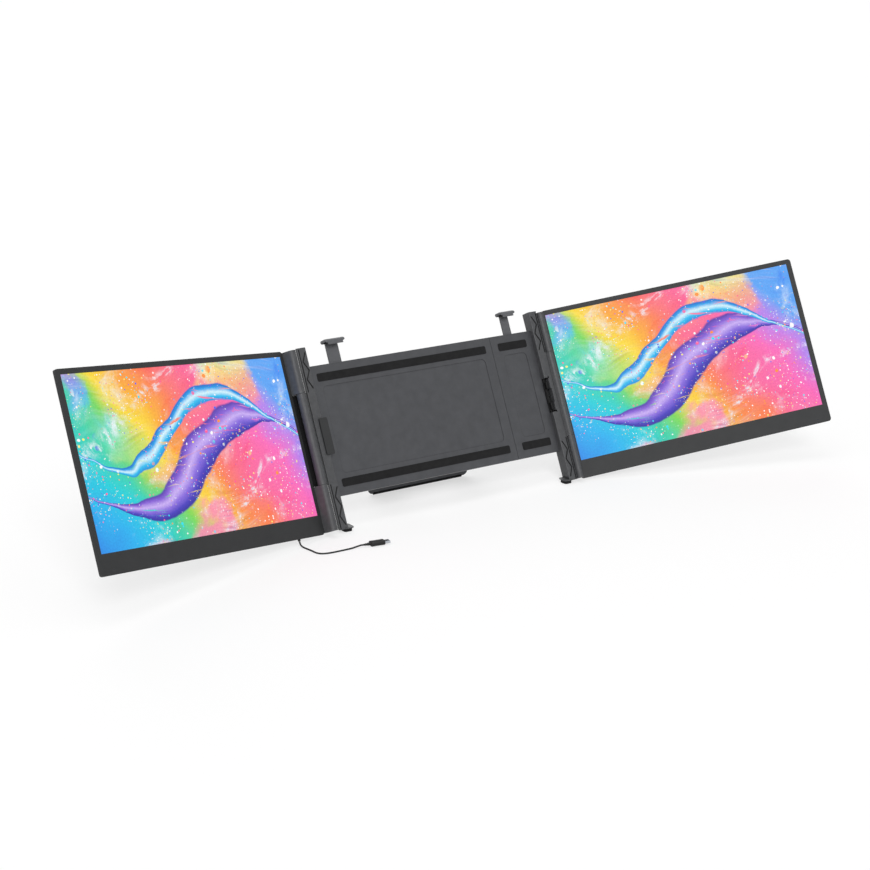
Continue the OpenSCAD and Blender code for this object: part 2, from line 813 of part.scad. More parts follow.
// The kickstand swung out: Z down along the plate, Y its thickness
module kick_swung() {
    leaning() translate([0, kick_y, kick_h]) rotate([kick_open, 0, 0]) children();
}

module kickstand_plate() {
    color(body_grey) kick_swung() difference() {
        union() {
            translate([-kick_w / 2, 0, 0]) rotate([0, 90, 0])
                cylinder(r = kick_barrel_r, h = kick_w);
            translate([-kick_w / 2, kick_t / 2, -kick_len]) rotate([90, 0, 0])
                linear_extrude(kick_t) round_rect(kick_w, kick_len, kick_corner_r);
        }
        translate([-big / 2, 0, 0]) rotate([0, 90, 0])
            cylinder(r = kick_pin_r + pin_clear, h = big);
        translate([-kick_w / 2 + kick_side, big / 2, -kick_len + kick_below])
            rotate([90, 0, 0]) linear_extrude(big)
                round_rect(kick_w - 2 * kick_side, kick_len - kick_below - kick_above,
                    window_r);
        kick_foot_groove();
    }
}

module kick_foot_groove() {
    translate([-kick_w / 2 + foot_end, 0, -kick_len]) rotate([0, 90, 0])
        cylinder(r = kick_foot_r, h = kick_w - 2 * foot_end);
}

module kickstand_foot() { color(rubber_black) kick_swung() kick_foot_groove(); }

// ---- Monitors, lying flat ----

// Front view outline of a monitor, inset by d
module panel_outline(d) {
    translate([d, d]) round_rect(panel_w - 2 * d, panel_h - 2 * d, max(least_r, corner_r - d));
}

// Where the knuckles' leaves enter a monitor
function knuckle_spans() = [
    [barrel_end, knuckle_low - knuckle_gap - panel_lift],
    [knuckle_high + knuckle_gap - panel_lift, panel_h - barrel_end]];

// The part of such a span that a leaf fills, clear of the chamfered top and bottom walls
function leaf_span(s) = let (end = wall + back_chamfer + fit)
    [max(s[0] + 1, end), min(s[1] - 1, panel_h - end)];

// Slots in the cover's hinge side for the leaves
module leaf_slots() {
    for (s = knuckle_spans()) let (leaf = leaf_span(s))
        translate([-1, leaf[0] - leaf_slack, leaf_depth - leaf_slack])
            cube([wall + 1 + leaf_slack, leaf[1] - leaf[0] + 2 * leaf_slack,
                cover_floor - leaf_depth + leaf_slack]);
}

module bezel(side) {
    color(body_grey) on_hinge(side) difference() {
        linear_extrude(edge_t) panel_outline(0);
        translate([0, 0, bezel_skin]) linear_extrude(edge_t) panel_outline(wall);
        translate([bezel_inner, bezel_bottom, -1]) cube([active_w, active_h, 3]);
        translate([panel_w - led_inset, led_y, -1]) cube([led_w, led_h, 3]);
        if (side == LEFT) gland_hole();
        if (side == RIGHT) port_hole();
    }
}

// A strip on the left bezel's hinge edge that closes the gap behind the fixed knuckle
module left_gap_strip() {
    color(rubber_black) on_hinge(LEFT)
        translate([-left_edge_gap - strip_past, knuckle_low - panel_lift, strip_depth])
            cube([left_edge_gap + strip_past, knuckle_high - knuckle_low, strip_t]);
}

module display_sheet(depth, t) {
    translate([bezel_inner - lcd_lap, bezel_bottom - lcd_lap, depth])
        cube([active_w + 2 * lcd_lap, active_h + 2 * lcd_lap, t]);
}

module lcd_panel(side) {
    color(display_black) on_hinge(side) display_sheet(bezel_skin, lcd_t);
}

module backlight(side) {
    color(light_white) on_hinge(side) display_sheet(bezel_skin + lcd_t + seat, light_t);
}

// The board below the display, with its connectors and switches
module driver_board(side) {
    x0 = panel_w - board_w - board_edge;
    color(board_green) on_hinge(side) {
        translate([x0, board_edge, board_depth]) cube([board_w, board_h, board_t]);
        for (i = [0:4]) translate([x0 + (i + 0.5) * chip_pitch,
                board_edge + (board_h - chip_h) / 2, board_depth - chip_t])
            cube([chip_w, chip_h, chip_t + eps]);
        for (x = button_places()) translate([x - switch_w / 2, button_y - switch_w / 2,
                board_depth + board_t - eps])
            cube([switch_w, switch_w, switch_t]);
    }
}

function button_places() = [panel_w - button_inset, panel_w - button_inset - button_pitch];

module rear_cover(side) {
    color(body_grey) on_hinge(side) difference() {
        chamfered_back(0, edge_t, panel_t);
        chamfered_back(wall, edge_t - eps, cover_floor);
        leaf_slots();
        for (x = button_places()) translate([x, button_y, 0]) {
            cylinder(r = button_r + fit, h = panel_t + 1);
            translate([0, 0, panel_t - dimple_d]) cylinder(r = button_r + dimple_w, h = 1);
        }
        for (p = cover_screw_places()) translate([p[0], p[1], 0]) {
            cylinder(r = cover_screw_r / 2 + seat, h = panel_t + 1);
            translate([0, 0, panel_t - cover_screw_t - cover_screw_sunk])
                cylinder(r = cover_screw_r + cover_screw_sunk, h = 1);
        }
        vents();
        if (side == LEFT) gland_hole();
        if (side == RIGHT) port_hole();
    }
}

// A block whose free edges lean in towards the back. The hinge edge stays upright.
module chamfered_back(inset, depth, back) {
    c = back_chamfer;
    w = panel_w - inset;
    h = panel_h - inset;
    intersection() {
        translate([0, 0, depth]) linear_extrude(back - depth) panel_outline(inset);
        translate([0, panel_h + 1, 0]) rotate([90, 0, 0]) linear_extrude(panel_h + 2)
            polygon([[inset, depth], [w, depth], [w - c, back], [inset, back]]);
        translate([-1, 0, 0]) rotate([90, 0, 90]) linear_extrude(panel_w + 2)
            polygon([[inset, depth], [h, depth], [h - c, back], [inset + c, back]]);
    }
}

// Rows of slots low on the back, in front of the board
module vents() {
    for (i = [0:vent_count - 1])
        translate([panel_w * vent_share + i * vent_pitch, bezel_bottom - 2 * vent_h, 0])
            linear_extrude(panel_t + 1) round_rect(vent_w, vent_h, vent_h * slot_round);
}

function cover_screw_places() = [
    for (x = [leaf_in + cover_screw_inset / 2, panel_w / 2, panel_w - cover_screw_inset],
        y = [cover_screw_inset, panel_h - cover_screw_inset]) [x, y]];

module cover_screws(side) {
    color(steel) on_hinge(side) for (p = cover_screw_places())
        translate([p[0], p[1], panel_t - cover_screw_t - cover_screw_sunk]) {
            difference() {
                cylinder(r = cover_screw_r, h = cover_screw_t);
                for (a = [0, 90]) rotate([0, 0, a])
                    translate([-cover_screw_r * screw_cross / 2, -cover_screw_slot / 2,
                            cover_screw_t / 2])
                        cube([cover_screw_r * screw_cross, cover_screw_slot, cover_screw_t]);
            }
            translate([0, 0, -cover_screw_t]) cylinder(r = cover_screw_r / 2 - seat,
                h = cover_screw_t + eps);
        }
}

// An end knuckle: a barrel in front of the monitor's edge and a leaf behind its display.
// Its front runs from the monitor's edge to touch the barrel.
module end_knuckle(side, span) {
    r = barrel_r(side);
    ax = -edge_gap(side);
    az = -face_back(side);
    edge = [-fit, knuckle_edge] - [ax, az];
    turn = atan2(edge[1], edge[0]) - acos(r / norm(edge));
    leaf = leaf_span(span);
    first = span[0] < panel_h / 2;
    color(column_grey) on_hinge(side) difference() {
        union() {
            translate([ax, span[1], az]) rotate([90, 0, 0])
                cylinder(r = r, h = span[1] - span[0]);
            translate([0, span[1], 0]) rotate([90, 0, 0]) linear_extrude(span[1] - span[0])
                polygon([[ax - r, az], [ax - r, knuckle_side],
                    [ax - r + knuckle_slope, cover_floor - seat],
                    [-fit, cover_floor - seat], [-fit, knuckle_edge],
                    [ax + (r - eps) * cos(turn), az + (r - eps) * sin(turn)],
                    [ax, az]]);
            translate([-fit - eps, leaf[0], leaf_depth])
                cube([leaf_in, leaf[1] - leaf[0], leaf_t]);
        }
        translate([ax, first ? span[1] + eps : span[1] - pin_cap, az]) rotate([90, 0, 0])
            cylinder(r = pin_r + pin_clear, h = span[1] - span[0] - pin_cap + eps);
    }
}

module status_led(side) {
    color(led_blue) on_hinge(side)
        translate([panel_w - led_inset, led_y, -eps]) cube([led_w, led_h, bezel_skin]);
}

module button(side, x) {
    low = board_depth + board_t + switch_t + button_travel;
    color(trim_grey) on_hinge(side) translate([x, button_y, low])
        cylinder(r = button_r, h = panel_t - seat - low);
}

// ---- Cable ----

module gland_hole() {
    translate([cable_exit, wall + 1, gland_depth]) rotate([90, 0, 0])
        cylinder(r = gland_r, h = 2 * wall + 2);
}

module cable_gland() {
    color(rubber_black) on_hinge(LEFT) translate([cable_exit, wall + 1, gland_depth])
        rotate([90, 0, 0]) {
            cylinder(r = gland_r, h = wall + 1);
            translate([0, 0, wall + 1]) cylinder(r1 = gland_r, r2 = gland_tip_r, h = gland_l);
        }
}

// The opening for the socket, which cuts into the chamfer
module port_hole() {
    translate([port_exit - fit, -1, port_depth - 2 * seat])
        cube([port_w + 2 * fit, 1 + 3 * wall, port_h + fit]);
}

// USB-C socket in the right monitor's lower edge
module right_usb_port() {
    color(steel) on_hinge(RIGHT) translate([port_exit, wall, port_depth]) difference() {
        cube([port_w, port_l, port_h]);
        translate([port_wall, -eps, port_wall])
            cube([port_w - 2 * port_wall, port_l - 1, port_h - 2 * port_wall]);
    }
}

// Frames carried along a route without twisting: [point, side vector, up vector]
function unit(v) = v / norm(v);
function heading(p, i) = unit(p[min(i + 1, len(p) - 1)] - p[max(i - 1, 0)]);
function across(t) = unit(cross(t, abs(t[2]) > steep ? [1, 0, 0] : [0, 0, 1]));

// A round tube of a few sides along a route
module tube(p, r, sides) {
    n = len(p);
    rings = [for (i = [0:n - 1]) let (t = heading(p, i), a = across(t), b = cross(a, t))
        for (k = [0:sides - 1]) let (q = 360 * k / sides)
            p[i] + r * (cos(q) * a + sin(q) * b)];
    walls = [for (i = [0:n - 2], k = [0:sides - 1]) let (m = (k + 1) % sides)
        [i * sides + k, i * sides + m, (i + 1) * sides + m, (i + 1) * sides + k]];
    ends = [[for (k = [sides - 1:-1:0]) k], [for (k = [0:sides - 1]) (n - 1) * sides + k]];
    polyhedron(rings, concat(walls, ends), convexity = 10);
}

module cable() { color(rubber_black) tube(cable_route, cable_d / 2, cable_sides); }

// The plug lies on the desk at the end of the cable, X along it
module plug_place() {
    last = cable_route[len(cable_route) - 1];
    translate([last[0], last[1], plug_t / 2]) rotate([0, 0, plug_turn]) children();
}

module plug_strain_relief() {
    color(rubber_black) plug_place() rotate([0, 90, 0])
        cylinder(r1 = cable_d / 2 + relief_wall, r2 = relief_r, h = relief_l);
}

module plug_grip() {
    color(rubber_black) plug_place() translate([relief_l, 0, 0]) rotate([90, 0, 90])
        translate([-plug_w / 2, -plug_t / 2]) linear_extrude(plug_l)
            round_rect(plug_w, plug_t, plug_t * plug_round);
}

module plug_shell() {
    color(steel) plug_place() translate([relief_l + plug_l, 0, 0]) rotate([90, 0, 90])
        difference() {
            translate([-shell_w / 2, -shell_t / 2]) linear_extrude(shell_l)
                round_rect(shell_w, shell_t, shell_t * slot_round);
            translate([shell_wall - shell_w / 2, shell_wall - shell_t / 2, 1])
                linear_extrude(shell_l)
                    round_rect(shell_w - 2 * shell_wall, shell_t - 2 * shell_wall,
                        (shell_t - 2 * shell_wall) * slot_round);
        }
}

// ---- The nodes ----

left_column();
left_foot_pad();
left_side_hook();
left_hinge_pin();
housing_front();
housing_rear();
slide_rails();
left_lid_pad();
housing_screws();
kickstand_ears();
kickstand_pin();
right_column();
right_foot_pad();
right_hinge_pin();
slide_plate();
end_housing_front();
end_housing_rear();
right_lid_pad();
end_screws();
side_pusher();
pusher_pad();
pusher_springs();
left_top_clip();
left_clip_pad();
right_top_clip();
right_clip_pad();
clip_springs_left();
clip_springs_right();
kickstand_plate();
kickstand_foot();
bezel(LEFT);  // left_bezel
left_gap_strip();
lcd_panel(LEFT);  // left_lcd_panel
backlight(LEFT);  // left_backlight
driver_board(LEFT);  // left_driver_board
rear_cover(LEFT);  // left_rear_cover
end_knuckle(LEFT, knuckle_spans()[1]);  // left_upper_knuckle
end_knuckle(LEFT, knuckle_spans()[0]);  // left_lower_knuckle
cover_screws(LEFT);  // left_cover_screws
status_led(LEFT);  // left_status_led
button(LEFT, button_places()[0]);  // left_power_button
button(LEFT, button_places()[1]);  // left_menu_button
cable_gland();
bezel(RIGHT);  // right_bezel
lcd_panel(RIGHT);  // right_lcd_panel
backlight(RIGHT);  // right_backlight
driver_board(RIGHT);  // right_driver_board
rear_cover(RIGHT);  // right_rear_cover
end_knuckle(RIGHT, knuckle_spans()[1]);  // right_upper_knuckle
end_knuckle(RIGHT, knuckle_spans()[0]);  // right_lower_knuckle
cover_screws(RIGHT);  // right_cover_screws
status_led(RIGHT);  // right_status_led
button(RIGHT, button_places()[0]);  // right_power_button
button(RIGHT, button_places()[1]);  // right_menu_button
right_usb_port();
cable();
plug_strain_relief();
plug_grip();
plug_shell();
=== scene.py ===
"""Dresses the laptop screen extender: two slim monitors on a leaning bracket.

Lengths in the classes are millimetres, except where a class says metres. Everything that
goes to Blender is metres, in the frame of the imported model: +X to the user's right, +Y away
from the user, +Z up.
"""
import json
import logging
import math
from dataclasses import dataclass, replace
from enum import Enum
from typing import Sequence

import bmesh
import bpy
from mathutils import Matrix, Vector


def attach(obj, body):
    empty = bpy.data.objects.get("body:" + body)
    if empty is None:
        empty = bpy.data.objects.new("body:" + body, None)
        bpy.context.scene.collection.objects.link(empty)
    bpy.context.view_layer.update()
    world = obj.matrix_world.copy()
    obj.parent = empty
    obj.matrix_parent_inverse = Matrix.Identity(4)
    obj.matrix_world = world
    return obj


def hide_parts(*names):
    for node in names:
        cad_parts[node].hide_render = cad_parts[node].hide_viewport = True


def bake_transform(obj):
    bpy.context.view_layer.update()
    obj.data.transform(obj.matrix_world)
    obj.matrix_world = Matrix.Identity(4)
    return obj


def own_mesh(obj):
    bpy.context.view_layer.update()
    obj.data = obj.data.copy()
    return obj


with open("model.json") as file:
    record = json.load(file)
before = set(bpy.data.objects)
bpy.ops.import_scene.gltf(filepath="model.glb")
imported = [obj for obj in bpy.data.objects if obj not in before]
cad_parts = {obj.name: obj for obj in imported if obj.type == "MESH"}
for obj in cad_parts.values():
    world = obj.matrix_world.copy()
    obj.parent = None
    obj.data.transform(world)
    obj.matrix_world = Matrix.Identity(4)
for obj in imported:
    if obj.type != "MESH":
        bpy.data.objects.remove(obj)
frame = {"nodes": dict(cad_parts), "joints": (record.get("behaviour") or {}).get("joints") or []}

Tree = bpy.types.NodeTree
Socket = bpy.types.NodeSocket

log = logging.getLogger("screen_extender")
MM = 0.001
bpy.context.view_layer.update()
WHITE = (1.0, 1.0, 1.0, 1.0)
# Painted shade in grooves: share of open sky at which a corner counts as closed and darkest, and
# from which it counts as open and unshaded
CORNER_SKY = (0.5, 0.97)
CORNER_SAMPLES = 8


class Side(Enum):
    """The side of the laptop that a piece is on, as the user sees it."""

    LEFT = "left"
    RIGHT = "right"


# ---- Shader helpers ----


def linear(colour: str) -> tuple[float, float, float, float]:
    """Turns an sRGB hex colour such as "#3a3b3d" into a linear colour with alpha 1."""
    parts = [int(colour[i:i + 2], 16) / 255 for i in (1, 3, 5)]
    return (*(p / 12.92 if p <= 0.04045 else ((p + 0.055) / 1.055) ** 2.4
              for p in parts), 1.0)


def shade(colour: str, factor: float) -> str:
    """Makes a hex colour lighter (factor over 1) or darker."""
    parts = [min(255, round(int(colour[i:i + 2], 16) * factor)) for i in (1, 3, 5)]
    return "#" + "".join(f"{p:02x}" for p in parts)


def per(size_mm: float) -> float:
    """The texture scale at which a pattern's features are about this size."""
    return 1 / (size_mm * MM)


def add_node(tree: Tree, kind: str, inputs: dict | None = None,
             stops: Sequence[tuple[float, str]] = (), **settings: object) -> bpy.types.Node:
    """Adds a shader node with its settings and links.

    Args:
        tree: The material's or the world's node tree.
        kind: The node's type, without its ShaderNode prefix.
        inputs: Socket names or numbers, each with a value or the socket that feeds it.
        stops: Places and hex colours of a colour ramp.
        settings: Attributes of the node itself.

    Returns:
        The new node.
    """
    node = tree.nodes.new("ShaderNode" + kind)
    for name, value in settings.items():
        setattr(node, name, value)
    for key, value in (inputs or {}).items():
        socket = node.inputs[key]
        if isinstance(value, Socket):
            tree.links.new(value, socket)
        else:
            socket.default_value = value
    if stops:
        marks = node.color_ramp.elements
        while len(marks) < len(stops):
            marks.new(1.0)
        for mark, (place, colour) in zip(marks, stops):
            mark.position = place
            mark.color = linear(colour)
    return node


def blank_material(name: str) -> tuple[bpy.types.Material, Tree]:
    """Makes an empty node material.

    Args:
        name: The material's name.

    Returns:
        The material and its node tree.
    """
    material = bpy.data.materials.new(name)
    material.use_nodes = True
    material.node_tree.nodes.clear()
    return material, material.node_tree


# ---- Finishes ----


@dataclass(frozen=True)
class Finish:
    """A surface: what it is made of, and how it was made smooth, rough or shiny.

    The grain is a fine relief, the mottle a slow wandering of the colour, and the gloss
    wanders with the mottle, as on a handled surface. Shade is painted into the colour in
    grooves and inner corners up to about groove_mm wide: where they are closed to the sky,
    the colour is darker.
    """

    name: str
    colour: str
    roughness: float
    metallic: float = 0.0
    ior: float = 1.5
    specular: float = 0.5
    grain_mm: float = 0.8
    grain_depth_mm: float = 0.02
    mottle: float = 0.06
    mottle_mm: float = 24.0
    gloss_drift: float = 0.05
    groove_mm: float = 1.6
    painted_groove_shade: float = 0.0

    def place(self, tree: Tree) -> Socket:
        """Coordinates that stay with the piece, in metres."""
        return add_node(tree, "TexCoord").outputs["Object"]

    def height(self, tree: Tree, at: Socket) -> Socket:
        """The relief of the surface, from 0 to 1."""
        return add_node(tree, "TexNoise", {"Vector": at, "Scale": per(self.grain_mm),
                                           "Detail": 3.0, "Roughness": 0.6}).outputs["Fac"]

    def tint(self, tree: Tree, at: Socket, height: Socket) -> Socket:
        """The colour over the surface.

        Args:
            tree: The material's node tree.
            at: Coordinates in metres.
            height: The relief, from 0 to 1.

        Returns:
            The colour.
        """
        drift = add_node(tree, "TexNoise", {"Vector": at, "Scale": per(self.mottle_mm),
                                            "Detail": 4.0})
        most = add_node(tree, "Math", {0: drift.outputs["Fac"], 1: 0.75},
                        operation="MULTIPLY")
        both = add_node(tree, "Math", {0: height, 1: 0.25, 2: most.outputs[0]},
                        operation="MULTIPLY_ADD")
        return add_node(tree, "ValToRGB", {"Fac": both.outputs[0]}, stops=[
            (0.3, shade(self.colour, 1 - self.mottle)),
            (0.7, shade(self.colour, 1 + self.mottle))]).outputs["Color"]

    def gloss(self, tree: Tree, at: Socket) -> Socket:
        """The roughness over the surface.

        Args:
            tree: The material's node tree.
            at: Coordinates in metres.

        Returns:
            The roughness.
        """
        drift = add_node(tree, "TexNoise", {
            "Vector": at, "Scale": per(self.mottle_mm * 0.6), "Detail": 5.0})
        return add_node(tree, "MapRange", {
            "Value": drift.outputs["Fac"], "From Min": 0.3, "From Max": 0.7,
            "To Min": self.roughness - self.gloss_drift,
            "To Max": self.roughness + self.gloss_drift}).outputs["Result"]

    def with_painted_shade(self, tree: Tree, colour: Socket) -> Socket:
        """The colour with painted shade, darker where the piece's own grooves and inner corners
        are.

        Args:
            tree: The material's node tree.
            colour: The colour of the open surface.

        Returns:
            The darkened colour.
        """
        if not self.painted_groove_shade:
            return colour
        # Painted shade: ambient occlusion finds the closed grooves and corners, and the colour
        # is darkened there
        sky = add_node(tree, "AmbientOcclusion", {"Distance": self.groove_mm * MM},
                       only_local=True, samples=CORNER_SAMPLES)
        closed, clear = CORNER_SKY
        dark = add_node(tree, "MapRange", {
            "Value": sky.outputs["AO"], "From Min": closed, "From Max": clear,
            "To Min": 1 - self.painted_groove_shade})
        grey = add_node(tree, "CombineColor", {i: dark.outputs["Result"] for i in range(3)})
        return add_node(tree, "Mix", {0: 1.0, 6: colour, 7: grey.outputs[0]},
                        data_type="RGBA", blend_type="MULTIPLY").outputs[2]

    def material(self) -> bpy.types.Material:
        """Builds the finish's material, once.

        Returns:
            The material, new or from an earlier call.
        """
        known = bpy.data.materials.get(self.name)
        if known:
            return known
        material, tree = blank_material(self.name)
        at = self.place(tree)
        height = self.height(tree, at)
        bump = add_node(tree, "Bump", {"Height": height, "Strength": 1.0,
                                       "Distance": self.grain_depth_mm * MM})
        colour = self.with_painted_shade(tree, self.tint(tree, at, height))
        surface = add_node(tree, "BsdfPrincipled", {
            "Base Color": colour, "Roughness": self.gloss(tree, at),
            "Metallic": self.metallic, "IOR": self.ior, "Specular IOR Level": self.specular,
            "Normal": bump.outputs["Normal"]})
        add_node(tree, "OutputMaterial", {"Surface": surface.outputs["BSDF"]})
        return material


@dataclass(frozen=True)
class BrushedFinish(Finish):
    """A metal brushed or rolled along X, which gives it fine lines and long highlights."""

    line_mm: float = 0.5
    line_length_mm: float = 40.0

    def height(self, tree: Tree, at: Socket) -> Socket:
        """Lines that are short across and long along X.

        Args:
            tree: The material's node tree.
            at: Coordinates in metres.

        Returns:
            The relief, from 0 to 1.
        """
        stretched = add_node(tree, "VectorMath", {
            0: at, 1: (1 / self.line_length_mm / MM, per(self.line_mm), per(self.line_mm))},
            operation="MULTIPLY")
        return add_node(tree, "TexNoise", {"Vector": stretched.outputs[0], "Scale": 1.0,
                                           "Detail": 2.0}).outputs["Fac"]


@dataclass(frozen=True)
class CircuitFinish(Finish):
    """A green solder mask with copper tracks showing through and bright pads."""

    track_mm: float = 2.5
    pad_colour: str = "#c9a44c"

    def tint(self, tree: Tree, at: Socket, height: Socket) -> Socket:
        """Tracks between square cells, with a bright pad in each.

        Args:
            tree: The material's node tree.
            at: Coordinates in metres.
            height: The relief, which the tracks don't follow.

        Returns:
            The colour.
        """
        cells = add_node(tree, "TexVoronoi", {"Vector": at, "Scale": per(self.track_mm)},
                         distance="CHEBYCHEV", feature="F1")
        return add_node(tree, "ValToRGB", {"Fac": cells.outputs["Distance"]}, stops=[
            (0.0, self.pad_colour), (0.12, self.pad_colour), (0.16, self.colour),
            (0.42, self.colour), (0.5, shade(self.colour, 1.35)),
            (0.62, shade(self.colour, 0.9))]).outputs["Color"]


# The display's picture: places along each wash and their colours
WASH_COLOURS = (
    (0.0, "#2f7be8"), (0.10, "#27b7f2"), (0.20, "#1fd3dc"), (0.29, "#3fd6b0"),
    (0.37, "#7edc5a"), (0.45, "#ffe13c"), (0.53, "#ffb43a"), (0.61, "#ff8658"),
    (0.70, "#ff6c98"), (0.80, "#ff6fbe"), (0.90, "#c084ee"), (1.0, "#5fa8f8"))
FLOOD_COLOURS = (
    (0.0, "#ff84b6"), (0.12, "#ffb070"), (0.22, "#fff07a"), (0.32, "#5fe6c4"),
    (0.44, "#49c2fa"), (0.56, "#9a8cf4"), (0.7, "#ff9aca"))
# Brush strokes: turn in radians, hairs across, share, colour and how it is laid on
BRUSHES = ((-0.64, 40.0, 0.45, "#eaf7ff", "MIX"), (-0.70, 110.0, 0.4, "#ffffff", "MIX"),
           (-0.58, 60.0, 0.5, "#5a78e0", "MULTIPLY"))
# Ribbons: level and swing, radians in a screen width and at the left edge, width, colours
RIBBONS = (
    (0.25, 0.13, 5.4, 3.6, 0.075,
     ("#2b2a92", "#4b3fc0", "#8d6fe0", "#cdb2f6", "#8a63d8", "#35279a")),
    (0.36, -0.10, 6.6, 0.4, 0.030, ("#0f7fd8", "#35c4f4", "#d8f8ff", "#2aa6ee", "#1656c0")))
# Drops: cells in a screen width, size in a cell, share of cells, and how widely they gather
DROPS = ((22.0, 0.34, 0.35, 0.52), (46.0, 0.36, 0.45, 0.48), (95.0, 0.38, 0.55, 0.46),
         (170.0, 0.4, 0.6, 0.44))
DROP_COLOURS = ((0.0, "#ffffff"), (0.40, "#fff27a"), (0.52, "#ff5a9a"), (0.66, "#2fe0f4"),
                (0.80, "#ff9440"), (0.92, "#5a62e8"))


@dataclass(frozen=True)
class DisplayFinish(Finish):
    """A lit display that shows an abstract picture of flowing paint.

    The glass is black with an anti-glare film, so it mirrors little. The light comes from
    the picture, which is worked out from the place on the screen. The lit area's lower left
    corner and its width are in metres.
    """

    corner: tuple[float, float, float] = (0.0, 0.0, 0.0)
    right: tuple[float, float, float] = (1.0, 0.0, 0.0)
    up: tuple[float, float, float] = (0.0, 0.0, 1.0)
    width: float = 0.3442

    def along(self, tree: Tree, at: Socket,
              axis: tuple[float, float, float]) -> Socket:
        """How far a point is from the lit corner along an axis, in screen widths.

        Args:
            tree: The material's node tree.
            at: Coordinates in metres.
            axis: Direction over the screen.

        Returns:
            The distance.
        """
        offset = add_node(tree, "VectorMath", {0: at, 1: self.corner}, operation="SUBTRACT")
        reach = add_node(tree, "VectorMath", {0: offset.outputs[0], 1: axis},
                         operation="DOT_PRODUCT")
        return add_node(tree, "Math", {0: reach.outputs["Value"], 1: self.width},
                        operation="DIVIDE").outputs[0]

    def warp(self, tree: Tree, at: Socket, scale: float,
             amount: float, detail: float = 3.0) -> Socket:
        """Shifts coordinates by noise, as wet paint runs.

        Args:
            tree: The material's node tree.
            at: Coordinates in screen widths.
            scale: How fine the noise is.
            amount: How far it shifts, in screen widths.
            detail: How much finer noise is added.

        Returns:
            The shifted coordinates.
        """
        noise = add_node(tree, "TexNoise", {"Vector": at, "Scale": scale, "Detail": detail})
        centred = add_node(tree, "VectorMath", {0: noise.outputs["Color"],
                                                1: (0.5, 0.5, 0.5)}, operation="SUBTRACT")
        return add_node(tree, "VectorMath", {
            0: centred.outputs[0], 1: (amount,) * 3, 2: at},
            operation="MULTIPLY_ADD").outputs[0]

    def streaks(self, tree: Tree, at: Socket, turn: float,
                across: float, along: float) -> Socket:
        """Fine lines that run one way, as the hairs of a wide brush leave them.

        Args:
            tree: The material's node tree.
            at: Coordinates in screen widths.
            turn: Their direction, in radians.
            across: How close they lie.
            along: How soon they end.

        Returns:
            The lines, from 0 to 1.
        """
        turned = add_node(tree, "Mapping", {"Vector": at, "Rotation": (0, 0, turn),
                                            "Scale": (along, across, 1.0)})
        return add_node(tree, "TexNoise", {"Vector": turned.outputs[0], "Scale": 1.0,
                                           "Detail": 4.0, "Roughness": 0.55}).outputs["Fac"]

    def rise(self, tree: Tree, at: Socket,
             slope: tuple[float, float, float]) -> Socket:
        """A value that rises steadily across the screen."""
        return add_node(tree, "VectorMath", {0: at, 1: slope},
                        operation="DOT_PRODUCT").outputs["Value"]

    def band(self, tree: Tree, value: Socket, low: float,
             high: float, most: float = 1.0) -> Socket:
        """A mask that goes smoothly from 0 to its most between two values.

        Args:
            tree: The material's node tree.
            value: What the mask depends on.
            low: Where it is 0.
            high: Where it is at its most.
            most: Its largest value.

        Returns:
            The mask.
        """
        return add_node(tree, "MapRange", {
            "Value": value, "From Min": low, "From Max": high, "To Max": most},
            interpolation_type="SMOOTHSTEP").outputs["Result"]

    def ribbon(self, tree: Tree, at: Socket, level: float,
               swing: float, turns: float, phase: float, width: float,
               colours: Sequence[str]) -> tuple[Socket, Socket]:
        """A painted ribbon that waves across the screen and thins out at both ends.

        Args:
            tree: The material's node tree.
            at: Coordinates in screen widths.
            level: Height of its middle line.
            swing: How far it waves up and down.
            turns: Radians of the wave in a screen width.
            phase: Radians at the left edge.
            width: Half its greatest width.
            colours: Colours across it, from its lower edge.

        Returns:
            Its mask and its colour.
        """
        across = add_node(tree, "SeparateXYZ", {"Vector": at}).outputs
        angle = add_node(tree, "Math", {0: across["X"], 1: turns, 2: phase},
                         operation="MULTIPLY_ADD")
        wave = add_node(tree, "Math", {0: angle.outputs[0]}, operation="SINE")
        middle = add_node(tree, "Math", {0: wave.outputs[0], 1: swing, 2: level},
                          operation="MULTIPLY_ADD")
        off = add_node(tree, "Math", {0: across["Y"], 1: middle.outputs[0]},
                       operation="SUBTRACT")
        full = add_node(tree, "Math", {0: across["X"], 1: 0.5}, operation="PINGPONG")
        body = self.band(tree, full.outputs[0], 0.04, 0.42, width)
        half = add_node(tree, "Math", {0: body, 1: 0.004}, operation="ADD")
        place = add_node(tree, "Math", {0: off.outputs[0], 1: half.outputs[0]},
                         operation="DIVIDE")
        apart = add_node(tree, "Math", {0: place.outputs[0]}, operation="ABSOLUTE")
        mask = self.band(tree, apart.outputs[0], 1.0, 0.86)
        over = add_node(tree, "MapRange", {"Value": place.outputs[0], "From Min": -1.0})
        step = 1 / (len(colours) - 1)
        return mask, add_node(tree, "ValToRGB", {"Fac": over.outputs["Result"]}, stops=[
            (i * step, colour) for i, colour in enumerate(colours)]).outputs["Color"]

